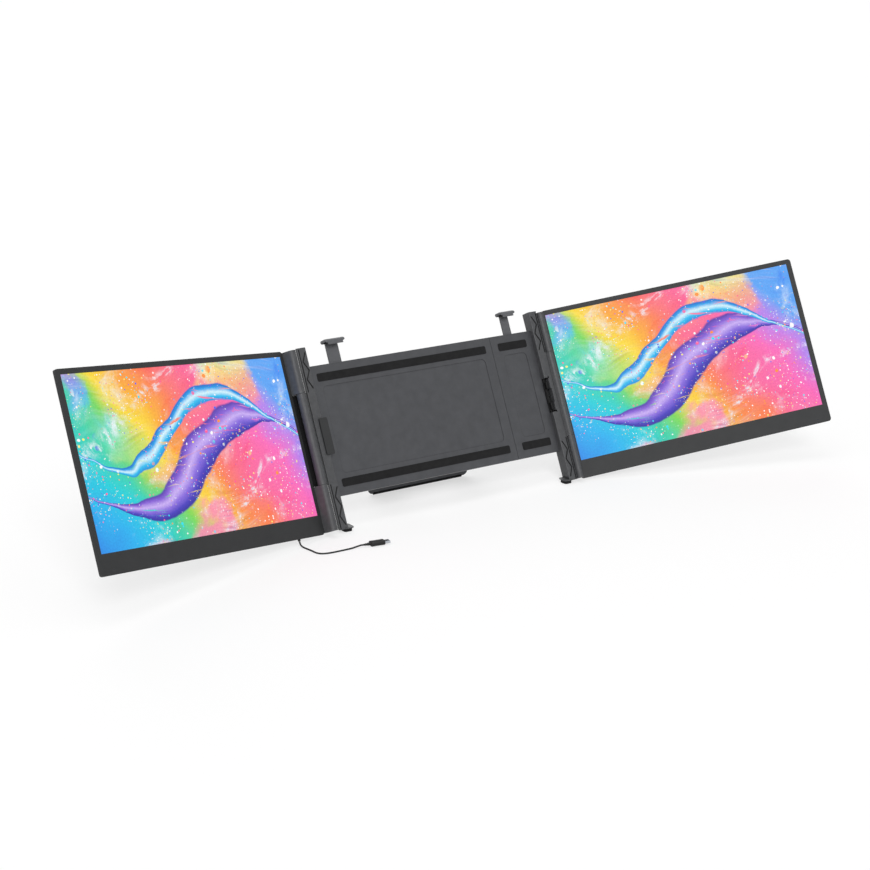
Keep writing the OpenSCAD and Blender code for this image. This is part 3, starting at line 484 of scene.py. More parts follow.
    def spots(self, tree: Tree, at: Socket, scale: float,
              size: float, share: float) -> tuple[Socket, Socket]:
        """Round drops of paint of many sizes.

        Args:
            tree: The material's node tree.
            at: Coordinates in screen widths.
            scale: Cells in a screen width, each with room for one drop.
            size: Radius of the largest drop, in cells.
            share: Share of the cells that hold a drop.

        Returns:
            A mask, and a random value for each drop.
        """
        cells = add_node(tree, "TexVoronoi", {"Vector": at, "Scale": scale}, feature="F1")
        parts = add_node(tree, "SeparateColor", {"Color": cells.outputs["Color"]}).outputs
        kept = add_node(tree, "Math", {0: parts[0], 1: 1 - share}, operation="SUBTRACT")
        radius = add_node(tree, "Math", {0: kept.outputs[0], 1: size / share},
                          operation="MULTIPLY")
        inside = add_node(tree, "Math", {
            0: radius.outputs[0], 1: cells.outputs["Distance"]}, operation="SUBTRACT")
        soft = add_node(tree, "MapRange", {"Value": inside.outputs[0], "From Max": 0.04})
        return soft.outputs["Result"], parts[1]

    def over(self, tree: Tree, mask: Socket | float, below: Socket,
             above: Socket | tuple[float, ...], mode: str = "MIX") -> Socket:
        """Lays one colour over another, as far as the mask lets it."""
        return add_node(tree, "Mix", {0: mask, 6: below, 7: above}, data_type="RGBA",
                        blend_type=mode).outputs[2]

    def washes(self, tree: Tree, wet: Socket, ragged: Socket) -> Socket:
        """Broad bands of colour, and a second wash that floods over them in pools.

        Args:
            tree: The material's node tree.
            wet: Screen coordinates that run a little more.
            ragged: Screen coordinates with ragged edges.

        Returns:
            The colours with this layer on them.
        """
        base = add_node(tree, "ValToRGB", {"Fac": self.rise(tree, wet, (0.80, 0.62, 0.0))},
                        stops=WASH_COLOURS).outputs["Color"]
        flood = add_node(tree, "ValToRGB", {
            "Fac": self.rise(tree, ragged, (-0.55, 1.15, 0.0))},
            stops=FLOOD_COLOURS).outputs["Color"]
        depth = add_node(tree, "TexNoise", {
            "Vector": ragged, "Scale": 3.0, "Detail": 6.0, "Roughness": 0.5}).outputs["Fac"]
        return self.over(tree, self.band(tree, depth, 0.50, 0.60, 0.85), base, flood)

    def watered(self, tree: Tree, painted: Socket, wet: Socket, ragged: Socket) -> Socket:
        """Soft clouds where water thinned the paint, and places where it gathered.

        Args:
            tree: The material's node tree.
            painted: The colours so far.
            wet: Screen coordinates that run a little more.
            ragged: Screen coordinates with ragged edges.

        Returns:
            The colours with this layer on them.
        """
        thin = add_node(tree, "TexNoise", {
            "Vector": ragged, "Scale": 6.5, "Detail": 9.0, "Roughness": 0.68}).outputs
        painted = self.over(tree, self.band(tree, thin["Fac"], 0.52, 0.76, 0.75), painted,
                            linear("#f4fcff"))
        dense = add_node(tree, "TexNoise", {
            "Vector": wet, "Scale": 5.0, "Detail": 9.0, "Roughness": 0.66,
            "Distortion": 0.6}).outputs["Fac"]
        return self.over(tree, self.band(tree, dense, 0.52, 0.7, 0.55), painted, painted,
                         "MULTIPLY")

    def brushed(self, tree: Tree, painted: Socket, run: Socket) -> Socket:
        """Brush hairs along the flow, where the brush was loaded.

        Args:
            tree: The material's node tree.
            painted: The colours so far.
            run: Screen coordinates that run in wide curves.

        Returns:
            The colours with this layer on them.
        """
        loaded = add_node(tree, "TexNoise", {"Vector": run, "Scale": 2.6, "Detail": 1.0})
        heavy = self.band(tree, loaded.outputs["Fac"], 0.48, 0.66)
        for turn, across, share, colour, mode in BRUSHES:
            hairs = self.streaks(tree, run, turn, across, 4.5)
            seen = self.band(tree, hairs, 0.48, 0.8, share)
            drawn = add_node(tree, "Math", {0: seen, 1: heavy}, operation="MULTIPLY")
            painted = self.over(tree, drawn.outputs[0], painted, linear(colour), mode)
        return painted

    def ribboned(self, tree: Tree, painted: Socket, flat: Socket) -> Socket:
        """Two ribbons of strong paint, with dry hairs in them.

        Args:
            tree: The material's node tree.
            painted: The colours so far.
            flat: Screen coordinates as they are.

        Returns:
            The colours with this layer on them.
        """
        fluid = self.warp(tree, self.warp(tree, flat, 2.4, 0.16, 2.0), 14.0, 0.02, 5.0)
        for shape in RIBBONS:
            mask, stroke = self.ribbon(tree, fluid, *shape)
            dry = self.band(tree, self.streaks(tree, fluid, -0.75, 90.0, 7.0), 0.28, 0.42)
            seen = add_node(tree, "Math", {0: mask, 1: dry}, operation="MULTIPLY")
            painted = self.over(tree, seen.outputs[0], painted, stroke)
        return painted

    def sprayed(self, tree: Tree, painted: Socket, run: Socket, ragged: Socket) -> Socket:
        """A pale spray that breaks over the flow in two long sweeps.

        Args:
            tree: The material's node tree.
            painted: The colours so far.
            run: Screen coordinates that run in wide curves.
            ragged: Screen coordinates with ragged edges.

        Returns:
            The colours with this layer on them.
        """
        sweep = self.rise(tree, self.warp(tree, run, 5.0, 0.16, 6.0), (-0.62, 1.0, 0.0))
        crest = add_node(tree, "Math", {0: sweep, 1: 3.3, 2: 0.1}, operation="MULTIPLY_ADD")
        fold = add_node(tree, "Math", {0: crest.outputs[0], 1: 1.0}, operation="PINGPONG")
        torn = add_node(tree, "TexNoise", {
            "Vector": ragged, "Scale": 34.0, "Detail": 7.0, "Roughness": 0.7}).outputs
        spray = add_node(tree, "Math", {
            0: self.band(tree, fold.outputs[0], 0.88, 1.0, 0.9),
            1: self.band(tree, torn["Fac"], 0.45, 0.66)}, operation="MULTIPLY")
        return self.over(tree, spray.outputs[0], painted, linear("#f2f9ff"))

    def papered(self, tree: Tree, painted: Socket, flat: Socket) -> Socket:
        """The tooth of the paper, which shows through the paint.

        Args:
            tree: The material's node tree.
            painted: The colours so far.
            flat: Screen coordinates as they are.

        Returns:
            The colours with this layer on them.
        """
        tooth = add_node(tree, "TexNoise", {"Vector": flat, "Scale": 160.0, "Detail": 3.0})
        grainy = add_node(tree, "ValToRGB", {"Fac": tooth.outputs["Fac"]}, stops=[
            (0.35, "#e6e6ee"), (0.6, "#ffffff")]).outputs["Color"]
        return self.over(tree, 0.6, painted, grainy, "MULTIPLY")

    def spattered(self, tree: Tree, painted: Socket, flat: Socket) -> Socket:
        """Spattered drops of paint, from blots to a fine mist.

        Args:
            tree: The material's node tree.
            painted: The colours so far.
            flat: Screen coordinates as they are.

        Returns:
            The colours with this layer on them.
        """
        loose = self.warp(tree, flat, 30.0, 0.012)
        for scale, size, share, low in DROPS:
            mask, pick = self.spots(tree, loose, scale, size, share)
            near = add_node(tree, "TexNoise", {
                "Vector": flat, "Scale": 3.1 + scale / 60, "Detail": 2.0}).outputs["Fac"]
            shown = add_node(tree, "Math", {
                0: mask, 1: self.band(tree, near, low, low + 0.08)}, operation="MULTIPLY")
            hue = add_node(tree, "ValToRGB", {"Fac": pick}, stops=DROP_COLOURS)
            hue.color_ramp.interpolation = "CONSTANT"
            painted = self.over(tree, shown.outputs[0], painted, hue.outputs["Color"])
        return painted

    def picture(self, tree: Tree, at: Socket) -> Socket:
        """The picture of flowing paint, laid on in the order of a painter.

        Args:
            tree: The material's node tree.
            at: Coordinates in metres.

        Returns:
            The picture's colour.
        """
        flat = add_node(tree, "CombineXYZ", {0: self.along(tree, at, self.right),
                                             1: self.along(tree, at, self.up)}).outputs[0]
        run = self.warp(tree, flat, 2.1, 0.36, 2.0)
        wet = self.warp(tree, run, 8.0, 0.06, 4.0)
        ragged = self.warp(tree, wet, 26.0, 0.022, 5.0)
        painted = self.washes(tree, wet, ragged)
        painted = self.watered(tree, painted, wet, ragged)
        painted = self.brushed(tree, painted, run)
        painted = self.ribboned(tree, painted, flat)
        painted = self.sprayed(tree, painted, run, ragged)
        painted = self.papered(tree, painted, flat)
        return self.spattered(tree, painted, flat)

    def material(self) -> bpy.types.Material:
        """Black anti-glare glass, lit from behind by the picture.

        Returns:
            The material, new or from an earlier call.
        """
        known = bpy.data.materials.get(self.name)
        if known:
            return known
        material, tree = blank_material(self.name)
        at = self.place(tree)
        surface = add_node(tree, "BsdfPrincipled", {
            "Base Color": linear(self.colour), "Roughness": self.gloss(tree, at),
            "IOR": self.ior, "Specular IOR Level": self.specular,
            "Emission Color": self.picture(tree, at), "Emission Strength": 1.0})
        add_node(tree, "OutputMaterial", {"Surface": surface.outputs["BSDF"]})
        return material


# Die-cast aluminium under a matt grey powder coat: an even, slightly sandy skin with soft
# highlights, a little lighter than the plastic
# Its grooves and inner corners get strong painted shade, so the scored lines read dark
POST_METAL = Finish("powder_coated_casting", "#414244", 0.52, specular=0.42,
                    grain_mm=0.9, grain_depth_mm=0.022, mottle=0.09, mottle_mm=5,
                    groove_mm=3.0, painted_groove_shade=0.85)
# Aluminium sheet, blasted and dyed grey: even and satin, its highlights softer than paint's
# Its grooves and inner corners get painted shade, less strong than the casting's
HOUSING_METAL = Finish("anodised_aluminium_housing", "#46474a", 0.5, metallic=0.5,
                       grain_mm=0.8, grain_depth_mm=0.014, mottle=0.05, mottle_mm=12,
                       gloss_drift=0.03, groove_mm=2.0, painted_groove_shade=0.6)
# ABS moulded in a spark-eroded tool: matt, evenly pebbled, charcoal
SHELL_PLASTIC = Finish("moulded_abs_shell", "#252627", 0.58, specular=0.35, grain_mm=0.9,
                       grain_depth_mm=0.016, mottle=0.05, mottle_mm=16, gloss_drift=0.02)
# Black acetal, moulded: dense, smooth and faintly waxy, for what slides
SLIDE_ACETAL = Finish("moulded_black_acetal", "#0b0b0c", 0.45, specular=0.25, grain_mm=0.7,
                      grain_depth_mm=0.006, mottle=0.08, mottle_mm=8)
# The shell's ABS in a lighter grey, moulded finer, for the buttons and the top clips: it
# has a soft sheen
GRIP_PLASTIC = Finish("moulded_abs_grip", "#505154", 0.46, specular=0.45, grain_mm=0.7,
                      grain_depth_mm=0.014, mottle=0.05)
# Silicone rubber, moulded: nearly black, dull, with dust in its pores
PAD_RUBBER = Finish("silicone_rubber_pad", "#121213", 0.82, specular=0.25, grain_mm=0.6,
                    grain_depth_mm=0.03, mottle=0.18, mottle_mm=9)
# Flexible PVC, extruded: black with a faint waxy gloss
LEAD_VINYL = Finish("extruded_pvc_jacket", "#101011", 0.45, specular=0.35, grain_mm=1.4,
                    grain_depth_mm=0.01, mottle=0.1, mottle_mm=14)
# Steel rod and sheet, zinc plated: bright, slightly bluish, with a fine drawn grain
ZINC_STEEL = BrushedFinish("zinc_plated_steel", "#b4b8be", 0.3, metallic=1.0, line_mm=0.3,
                           line_length_mm=8, grain_depth_mm=0.006, mottle=0.05, mottle_mm=6)
# Small steel screws, black nickel plated: smoky, with a soft gleam on their heads
SCREW_STEEL = BrushedFinish("black_nickel_screws", "#6d6f73", 0.36, metallic=1.0,
                            line_mm=0.3, line_length_mm=3, grain_depth_mm=0.004,
                            mottle=0.05, mottle_mm=4)
# Spring wire, phosphated: dark grey, oily and dull, so the coils stay quiet
SPRING_STEEL = BrushedFinish("phosphated_spring_wire", "#2b2c2e", 0.5, metallic=0.6,
                             line_mm=0.3, line_length_mm=6, grain_depth_mm=0.005,
                             mottle=0.1, mottle_mm=5)
# Rolled aluminium strip, brushed lengthwise and dyed black: dark grey, with long streaks
SLIDE_METAL = BrushedFinish("black_anodised_slide", "#3d3e41", 0.46, metallic=0.7,
                            line_mm=0.8, line_length_mm=60, grain_depth_mm=0.008,
                            gloss_drift=0.03)
# Acrylic light guide behind the display: milky white and smooth
LIGHT_GUIDE = Finish("acrylic_light_guide", "#e4e7ea", 0.3, ior=1.49, grain_mm=1.5,
                     grain_depth_mm=0.004, mottle=0.03)
# Glass-fibre board under a green solder mask: glossy, with copper-coloured pads
BOARD = CircuitFinish("solder_mask_board", "#1d5b3b", 0.36, specular=0.5, grain_mm=1.2)
# Smoked polycarbonate light pipe over the status light, which is off: dark and glassy
LIGHT_PIPE = Finish("smoked_polycarbonate", "#2b2d33", 0.2, ior=1.58, grain_mm=1.0,
                    grain_depth_mm=0.002, mottle=0.04)
# Cover glass with an anti-glare film over the lit panel: black, and it mirrors little
DISPLAY = DisplayFinish("lit_display", "#050607", 0.34, specular=0.22, gloss_drift=0.02)


# ---- Mesh helpers ----

SAME_CORNER_MM = 0.002
SHARP_DEGREES = 38.0


def new_piece(name: str, points: Sequence[Vector], faces: Sequence[Sequence[int]],
              finish: Finish) -> bpy.types.Object:
    """Makes a smoothly shaded mesh object from points in metres.

    Args:
        name: Name of the piece.
        points: Corners in the row frame.
        faces: Corner numbers of each face.
        finish: What it is made of.

    Returns:
        The new object, linked to the scene.
    """
    mesh = bpy.data.meshes.new(name)
    mesh.from_pydata([tuple(p) for p in points], [], [list(f) for f in faces])
    mesh.polygons.foreach_set("use_smooth", [True] * len(mesh.polygons))
    mesh.materials.append(finish.material())
    made = bmesh.new()
    made.from_mesh(mesh)
    bmesh.ops.recalc_face_normals(made, faces=made.faces)
    made.to_mesh(mesh)
    made.free()
    piece = bpy.data.objects.new(name, mesh)
    bpy.context.scene.collection.objects.link(piece)
    return piece


def turn_in(sides: int) -> list[float]:
    """The angles of one full turn in equal steps, in radians."""
    return [2 * math.pi * k / sides for k in range(sides)]


def loft(rings: Sequence[Sequence[Vector]]) -> tuple[list[Vector], list[list[int]]]:
    """Joins closed rings of equally many points into a capped tube.

    Args:
        rings: Points of each ring, in order round it.

    Returns:
        Its points and its faces.
    """
    sides = len(rings[0])
    points = [p for ring in rings for p in ring]
    faces = [[i * sides + k, i * sides + (k + 1) % sides,
              (i + 1) * sides + (k + 1) % sides, (i + 1) * sides + k]
             for i in range(len(rings) - 1) for k in range(sides)]
    faces.append(list(range(sides))[::-1])
    faces.append(list(range((len(rings) - 1) * sides, len(rings) * sides)))
    return points, faces


def round_tube(line: Sequence[Vector], radius_mm: float,
               sides: int) -> tuple[list[Vector], list[list[int]]]:
    """A round tube along a line, carried without twisting.

    Args:
        line: Points of its middle, in metres.
        radius_mm: Its radius.
        sides: Points round it.

    Returns:
        Its points and its faces.
    """
    side = Vector((1, 0, 0))
    rings = []
    for i, point in enumerate(line):
        along = (line[min(i + 1, len(line) - 1)] - line[max(i - 1, 0)]).normalized()
        side = (side - along * side.dot(along)).normalized()
        other = along.cross(side)
        rings.append([point + radius_mm * MM * (math.cos(q) * side + math.sin(q) * other)
                      for q in turn_in(sides)])
    return loft(rings)


def soften(piece: bpy.types.Object, width_mm: float) -> None:
    """Breaks a piece's sharp edges with a small bevel, so that they catch the light.

    The corners of its triangles are joined first, and its large faces then lead the
    shading, so that they look flat up to the broken edges.

    Args:
        piece: The mesh object.
        width_mm: Width of the bevel.
    """
    weld = piece.modifiers.new("joined_corners", "WELD")
    weld.merge_threshold = SAME_CORNER_MM * MM
    bevel = piece.modifiers.new("broken_edges", "BEVEL")
    bevel.width = width_mm * MM
    bevel.segments = 2
    bevel.limit_method = "ANGLE"
    bevel.angle_limit = math.radians(SHARP_DEGREES)
    piece.data.polygons.foreach_set("use_smooth", [True] * len(piece.data.polygons))
    flats = piece.modifiers.new("flat_faces", "WEIGHTED_NORMAL")
    flats.mode = "FACE_AREA"
    flats.weight = 100  # only the largest faces count
    flats.keep_sharp = True


def dress(node: str, finish: Finish, edge_mm: float = 0.0) -> None:
    """Gives a carried-over node its finish and, where asked, broken edges.

    Args:
        node: Name of the node.
        finish: What it is made of.
        edge_mm: Width of its broken edges, or 0 for none.
    """
    piece = frame["nodes"][node]
    piece.data.materials.clear()
    piece.data.materials.append(finish.material())
    if edge_mm:
        soften(piece, edge_mm)


def joint(name: str) -> dict:
    """The record's joint of that name."""
    return next(j for j in frame["joints"] if j["name"] == name)


# ---- The object ----


@dataclass
class Monitor:
    """One of the two monitors, from its display to its rear cover."""

    side: Side
    shell_edge: float = 0.35
    knuckle_edge: float = 0.4
    button_edge: float = 0.25
    gland_edge: float = 0.15
    port_edge: float = 0.1

    def names(self, *parts: str) -> list[str]:
        """Node names of this monitor's parts."""
        return [f"{self.side.value}_{part}" for part in parts]

    def axes(self) -> tuple[Vector, Vector]:
        """Right and up over the screen, as the user sees it.

        Returns:
            Two unit vectors in the row frame.
        """
        up = Vector(joint(f"{self.side.value}_screen_fold")["axis"])
        up = up if up.z > 0 else -up
        front = Vector(joint(f"{self.side.value}_power_press")["axis"])
        return up.cross(front).normalized(), up.normalized()

    def display(self) -> DisplayFinish:
        """The display's finish, laid out from the lit area's lower left corner.

        Returns:
            The finish of this monitor's display.
        """
        right, up = self.axes()
        out = right.cross(up)
        (panel,) = self.names("lcd_panel")
        points = [v.co for v in frame["nodes"][panel].data.vertices]
        left = min(p.dot(right) for p in points)
        width = max(p.dot(right) for p in points) - left
        low = min(p.dot(up) for p in points)
        corner = right * left + up * low + out * points[0].dot(out)
        return replace(DISPLAY, name=f"{self.side.value}_lit_display", corner=tuple(corner),
                       right=tuple(right), up=tuple(up), width=width)

    def dress(self) -> None:
        """Finishes every part of the monitor."""
        for node in self.names("bezel", "rear_cover"):
            dress(node, SHELL_PLASTIC, self.shell_edge)
        for node in self.names("upper_knuckle", "lower_knuckle"):
            dress(node, POST_METAL, self.knuckle_edge)
        for node in self.names("power_button", "menu_button"):
            dress(node, GRIP_PLASTIC, self.button_edge)
        lcd, backlight, board, screws, led = self.names(
            "lcd_panel", "backlight", "driver_board", "cover_screws", "status_led")
        dress(lcd, self.display())
        dress(backlight, LIGHT_GUIDE)
        dress(board, BOARD)
        dress(screws, SCREW_STEEL)
        dress(led, LIGHT_PIPE)
        if self.side is Side.LEFT:
            dress("cable_gland", PAD_RUBBER, self.gland_edge)
        else:
            dress("right_usb_port", ZINC_STEEL, self.port_edge)
        log.info("%s monitor dressed", self.side.value)


@dataclass
class Bracket:
    """The fixed and the sliding frame, with their columns, housings and grips."""

    post_edge: float = 0.4
    housing_edge: float = 0.5
    pad_edge: float = 0.25
    clip_edge: float = 0.45
    hook_edge: float = 0.4
    pusher_edge: float = 0.3
    slide_edge: float = 0.2

    def dress(self) -> None:
        """Finishes every part of both frames."""
        for node in ("left_column", "right_column", "kickstand_ears"):
            dress(node, POST_METAL, self.post_edge)
        for node in ("housing_front", "housing_rear", "end_housing_front",
                     "end_housing_rear"):
            dress(node, HOUSING_METAL, self.housing_edge)
        # The left gap strip is a rubber seal, made black so that it also stands in for the deep
        # shade in the gap beside the left hinge
        for node in ("left_foot_pad", "right_foot_pad", "left_lid_pad", "right_lid_pad",
                     "pusher_pad", "left_clip_pad", "right_clip_pad", "left_gap_strip"):
            dress(node, PAD_RUBBER, self.pad_edge)
        for node in ("left_top_clip", "right_top_clip"):
            dress(node, GRIP_PLASTIC, self.clip_edge)
        dress("left_side_hook", SHELL_PLASTIC, self.hook_edge)
        dress("side_pusher", SLIDE_ACETAL, self.pusher_edge)
        for node in ("left_hinge_pin", "right_hinge_pin", "kickstand_pin", "slide_rails"):
            dress(node, ZINC_STEEL)
        for node in ("housing_screws", "end_screws"):
            dress(node, SCREW_STEEL)
        for node in ("clip_springs_left", "clip_springs_right"):
            dress(node, SPRING_STEEL)
        dress("slide_plate", SLIDE_METAL, self.slide_edge)
        log.info("bracket dressed")


@dataclass
class PusherSprings:
    """The short coil springs behind the side pusher, which flatten as it goes in.

    They lie along X, from the pusher at rest to the pocket's end. Their depth is counted
    forwards from the column's plane, and their heights up along its lean.
    """

    start: float = 168.75
    end: float = 171.45
    depth: float = -6.75
    heights: tuple[float, ...] = (102.5, 118.0, 133.5)
    coil_radius: float = 1.5
    wire_radius: float = 0.32
    wire_sides: int = 10
    turns: int = 3
    steps: int = 24
    travel: float = 2.2

    def coil(self, height: float) -> list[Vector]:
        """The middle of one spring's wire.

        Args:
            height: Where the spring is, along the lean.

        Returns:
            Points along the wire, in metres.
        """
        across = Vector((1, 0, 0))
        up = -Vector(joint("right_screen_fold")["axis"]).normalized()
        front = across.cross(up)
        count = self.turns * self.steps
        length = self.end - self.start - 2 * self.wire_radius
        return [(across * (self.start + self.wire_radius + length * i / count)
                 + front * (self.depth + self.coil_radius * math.cos(turn))
                 + up * (height + self.coil_radius * math.sin(turn))) * MM
                for i, turn in ((i, 2 * math.pi * i / self.steps)
                                for i in range(count + 1))]

    def build(self) -> None:
        """Winds the springs from the pusher at rest to the pocket's end."""
        points: list[Vector] = []
        faces: list[list[int]] = []
        for height in self.heights:
            ring_points, ring_faces = round_tube(self.coil(height), self.wire_radius,
                                                 self.wire_sides)
            faces += [[k + len(points) for k in face] for face in ring_faces]
            points += ring_points
        piece = new_piece("pusher_coils", points, faces, SPRING_STEEL)
        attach(piece, "slide_frame")
        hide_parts("pusher_springs")
        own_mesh(piece)
        log.info("%d pusher springs wound", len(self.heights))


@dataclass
class Kickstand:
    """The plate that swings out behind the housing, with its rubber edge."""

    edge: float = 0.5

    def dress(self) -> None:
        """Finishes the plate and its foot."""
        dress("kickstand_plate", HOUSING_METAL, self.edge)
        dress("kickstand_foot", PAD_RUBBER)
        log.info("kickstand dressed")


@dataclass
class Lead:
    """The short USB-C lead from the left monitor's gland to its plug on the desk."""

    diameter: float = 2.0
    sides: int = 14
    step: float = 0.8
    turning_length: float = 9.0
    turning_step: float = 0.2
    turning_depth: float = 4.0
    turning_way: tuple[float, float, float] = (0.0, -0.94, -0.34)
    relief_length: float = 8.0
    relief_radii: tuple[float, float] = (1.25, 2.1)
    relief_steps: int = 32
    relief_sides: int = 20
    relief_curve: float = 1.3
    relief_waves: float = 5.5
    relief_groove: float = 0.22
    relief_zone: tuple[float, float] = (0.06, 0.9)
    grip_length: float = 17.5
    grip_width: float = 10.0
    grip_height: float = 5.6
    grip_steps: int = 56
    grip_sides: int = 40
    grip_rounding: float = 0.9
    grip_inset: float = 0.5
    grip_squareness: float = 3.4
    ridge_height: float = 0.18
    ridge_count: int = 6
    ridge_zone: tuple[float, float] = (0.3, 0.78)
    shell_edge: float = 0.12
    heading: float = -9.0
    route: tuple[tuple[float, float, float], ...] = (
        (-241.2, -11.3, 6.8), (-241.1, -12.6, 4.3), (-240.6, -14.6, 2.3),
        (-239.6, -18.6, 1.2), (-238.4, -25, 1.0), (-237.4, -32, 1.0), (-237, -38, 1.0),
        (-235.8, -43.2, 1.0), (-232.6, -47.2, 1.0), (-227.5, -49.6, 1.0),
        (-220, -50.8, 1.0), (-211, -51.2, 1.0), (-202, -51.3, 1.0), (-194, -51.5, 1.2),
        (-188, -51.8, 2.0), (-183, -52.5, 2.8), (-179.2, -53.1, 2.8))

    def smooth_route(self) -> list[Vector]:
        """The route in metres as one smooth curve through its points.

        The points lie closer together over its first turning_length millimetres, where it leaves
        the gland.

        Returns:
            Points of the lead's middle.
        """
        ends = [Vector(p) * MM for p in self.route]
        ends = [2 * ends[0] - ends[1], *ends, 2 * ends[-1] - ends[-2]]
        line = []
        run = 0.0
        for a, b, c, d in zip(ends, ends[1:], ends[2:], ends[3:]):
            step = self.turning_step if run < self.turning_length * MM else self.step
            parts = max(2, round((c - b).length / (step * MM)))
            run += (c - b).length
            for i in range(parts):
                t = i / parts
                line.append(0.5 * (2 * b + (c - a) * t
                                   + (2 * a - 5 * b + 4 * c - d) * t ** 2
                                   + (3 * b - a - 3 * c + d) * t ** 3))
        return [*line, ends[-2]]

    def plug_frame(self) -> Matrix:
        """The plug's place: X along it, Z up, at the cable's end."""
        end = Vector(self.route[-1]) * MM
        return Matrix.Translation(end) @ Matrix.Rotation(math.radians(self.heading), 4, "Z")

    def relief(self) -> bpy.types.Object:
        """The tapered strain relief with rings that let it bend.

        Returns:
            The new piece.
        """
        place = self.plug_frame()
        thin, thick = self.relief_radii
        low, high = self.relief_zone
        rings = []
        for i in range(self.relief_steps + 1):
            t = i / self.relief_steps
            radius = thin + (thick - thin) * t ** self.relief_curve
            if low < t < high:
                wave = math.sin(t * self.relief_waves * math.pi)
                radius -= self.relief_groove * max(0.0, wave) ** 2
            rings.append([place @ (Vector((t * self.relief_length, radius * math.cos(q),
                                           radius * math.sin(q))) * MM)
                          for q in turn_in(self.relief_sides)])
        return new_piece("lead_strain_relief", *loft(rings), LEAD_VINYL)

    def grip(self) -> bpy.types.Object:
        """The plug's moulded grip: a flat oval with soft ends and finger ridges.

        Returns:
            The new piece.
        """
        place = self.plug_frame()
        low, high = self.ridge_zone
        power = 2 / self.grip_squareness
        rings = []
        for i in range(self.grip_steps + 1):
            t = i / self.grip_steps
            end = min(1.0, min(t, 1 - t) * self.grip_length / self.grip_rounding)
            inset = self.grip_inset * (1 - math.sqrt(max(0.0, 1 - (1 - end) ** 2)))
            half_w = self.grip_width / 2 - inset
            half_h = self.grip_height / 2 - inset
            if low < t < high:
                wave = math.cos((t - low) / (high - low) * 2 * self.ridge_count * math.pi)
                half_h -= self.ridge_height * (0.5 - 0.5 * wave)
            ring = []
            for q in turn_in(self.grip_sides):
                c, s = math.cos(q), math.sin(q)
                point = Vector((self.relief_length + t * self.grip_length,
                                half_w * math.copysign(abs(c) ** power, c),
                                half_h * math.copysign(abs(s) ** power, s)))
                ring.append(place @ (point * MM))
            rings.append(ring)
        return new_piece("lead_plug_grip", *loft(rings), LEAD_VINYL)

    def build(self) -> None:
        """Makes the cable and its plug, and lays them where the solids lie."""
        line = self.smooth_route()
        cable = new_piece("lead_cable", *round_tube(line, self.diameter / 2, self.sides),
                          LEAD_VINYL)
        relief, grip = self.relief(), self.grip()
        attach(relief, "base_frame")
        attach(grip, "base_frame")
        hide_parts("plug_strain_relief")
        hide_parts("plug_grip")
        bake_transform(cable)
        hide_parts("cable")
        dress("plug_shell", ZINC_STEEL, self.shell_edge)


# ---- The room ----


@dataclass(frozen=True)
class Lamp:
    """A far, wide lamp that lights the whole floor alike.

    Its direction is from the object to the lamp, its distance is in metres, and its spread
    is how wide it looks from the object, in degrees.
    """

    name: str
    toward: tuple[float, float, float]
    spread: float
    strength: float
    distance: float = 3.0

    def build(self) -> None:
        """Makes the lamp."""
        data = bpy.data.lights.new(self.name, "SUN")
        data.energy = self.strength
        data.angle = math.radians(self.spread)
        lamp = bpy.data.objects.new(self.name, data)
        lamp.location = Vector(self.toward) * self.distance
        lamp.rotation_mode = "QUATERNION"
        lamp.rotation_quaternion = (-Vector(self.toward)).to_track_quat("-Z", "Y")
        bpy.context.scene.collection.objects.link(lamp)


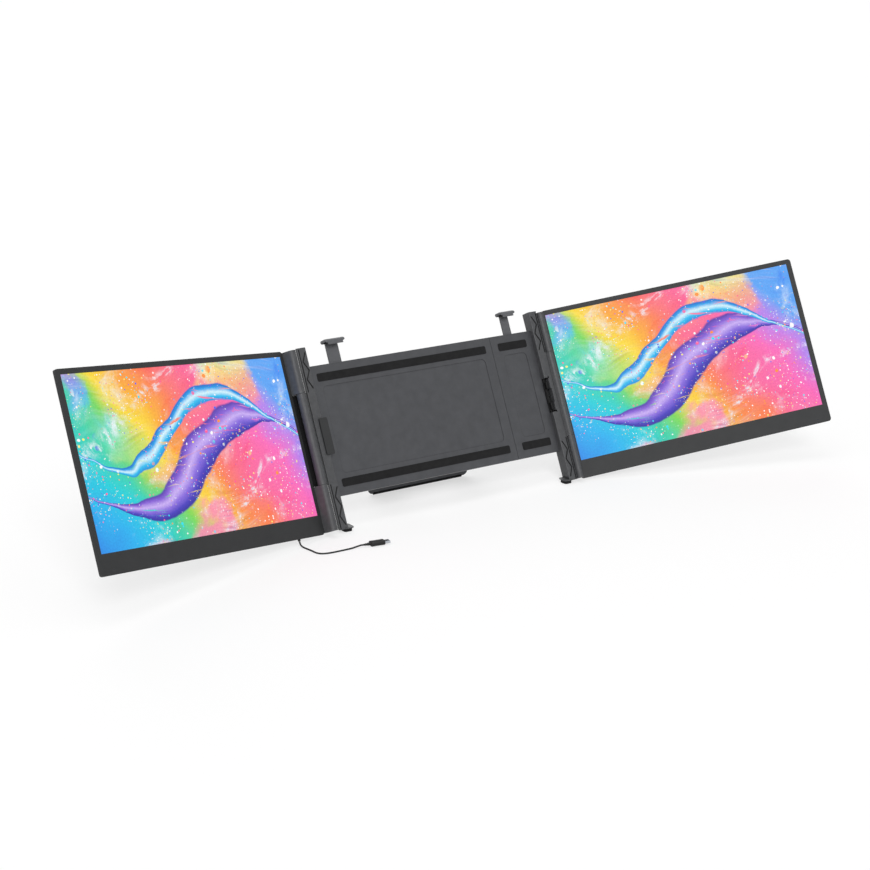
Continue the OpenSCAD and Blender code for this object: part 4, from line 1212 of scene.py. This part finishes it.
@dataclass
class Studio:
    """A pale floor in a white room, under wide soft lamps. Its lengths are metres."""

    floor_size: float = 60.0
    floor_drop: float = 0.0002
    floor_colour: str = "#f8f8f8"
    floor_lift: float = 0.62
    room_light: float = 0.41
    lamps: tuple[Lamp, ...] = (Lamp("top_lamp", (-0.15, 0.25, 1.0), 50, 0.85),
                               Lamp("key_lamp", (-0.33, -0.75, 0.57), 26, 1.65),
                               Lamp("back_lamp", (0.35, 0.8, 0.55), 40, 0.7))

    def seen_directly(self, tree: Tree) -> Socket:
        """Tells what is seen, straight or in gloss and glass, from light.

        Args:
            tree: The material's or the world's node tree.

        Returns:
            1 for what is seen, 0 for light.
        """
        path = add_node(tree, "LightPath").outputs
        first = add_node(tree, "Math", {0: path["Is Camera Ray"], 1: path["Is Glossy Ray"]},
                         operation="MAXIMUM")
        return add_node(tree, "Math", {0: first.outputs[0], 1: path["Is Transmission Ray"]},
                        operation="MAXIMUM").outputs[0]

    def room(self) -> None:
        """White where it is seen, and dimmer as a light."""
        world = bpy.data.worlds.new("white_room")
        world.use_nodes = True
        tree = world.node_tree
        tree.nodes.clear()
        strength = add_node(tree, "MapRange", {"Value": self.seen_directly(tree),
                                               "To Min": self.room_light, "To Max": 1.0})
        light = add_node(tree, "Background", {"Color": WHITE,
                                              "Strength": strength.outputs["Result"]})
        add_node(tree, "OutputWorld", {"Surface": light.outputs["Background"]})
        bpy.context.scene.world = world

    def floor(self) -> None:
        """A wide matt floor, white where it is seen, that keeps a faint shadow."""
        half = self.floor_size / 2
        material, tree = blank_material("pale_floor")
        matt = add_node(tree, "BsdfDiffuse", {"Color": linear(self.floor_colour)})
        white = add_node(tree, "Emission", {"Color": WHITE, "Strength": 1.0})
        share = add_node(tree, "Math", {0: self.seen_directly(tree), 1: self.floor_lift},
                         operation="MULTIPLY")
        mixed = add_node(tree, "MixShader", {0: share.outputs[0], 1: matt.outputs["BSDF"],
                                             2: white.outputs["Emission"]})
        add_node(tree, "OutputMaterial", {"Surface": mixed.outputs["Shader"]})
        mesh = bpy.data.meshes.new("floor")
        mesh.from_pydata([(-half, -half, 0), (half, -half, 0), (half, half, 0),
                          (-half, half, 0)], [], [(0, 1, 2, 3)])
        mesh.materials.append(material)
        floor_object = bpy.data.objects.new("floor", mesh)
        floor_object.location.z = -self.floor_drop
        bpy.context.scene.collection.objects.link(floor_object)

    def build(self) -> None:
        """Makes the room, its floor and its lamps."""
        self.room()
        self.floor()
        for lamp in self.lamps:
            lamp.build()
        log.info("studio lit")


@dataclass
class Viewpoint:
    """The camera, turned round a point on the object. Its clip distances are in metres."""

    azimuth: float = -33.96
    elevation: float = 16.59
    distance: float = 2357.2
    target: tuple[float, float, float] = (-47.5, -5.63, 102.4)
    focal_pixels: float = 1958.0
    image_pixels: float = 870.0
    sensor: float = 36.0
    clip: tuple[float, float] = (0.05, 200.0)

    def build(self) -> None:
        """Makes the camera."""
        a, e = math.radians(self.azimuth), math.radians(self.elevation)
        back = Vector((math.sin(a) * math.cos(e), -math.cos(a) * math.cos(e),
                       math.sin(e)))
        data = bpy.data.cameras.new("camera")
        data.sensor_width = self.sensor
        data.lens = self.focal_pixels / self.image_pixels * self.sensor
        data.clip_start, data.clip_end = self.clip
        camera = bpy.data.objects.new("camera", data)
        camera.location = (Vector(self.target) + back * self.distance) * MM
        camera.rotation_mode = "QUATERNION"
        camera.rotation_quaternion = (-back).to_track_quat("-Z", "Y")
        bpy.context.scene.collection.objects.link(camera)
        bpy.context.scene.camera = camera


def main() -> None:
    """Builds the dressed object and its studio."""
    logging.basicConfig(level=logging.INFO, format="%(message)s")
    bpy.context.scene.view_settings.view_transform = "Standard"
    Viewpoint().build()
    Lead().build()
    for side in Side:
        Monitor(side).dress()
    Bracket().dress()
    PusherSprings().build()
    Kickstand().dress()
    Studio().build()


if __name__ == "__main__":
    main()
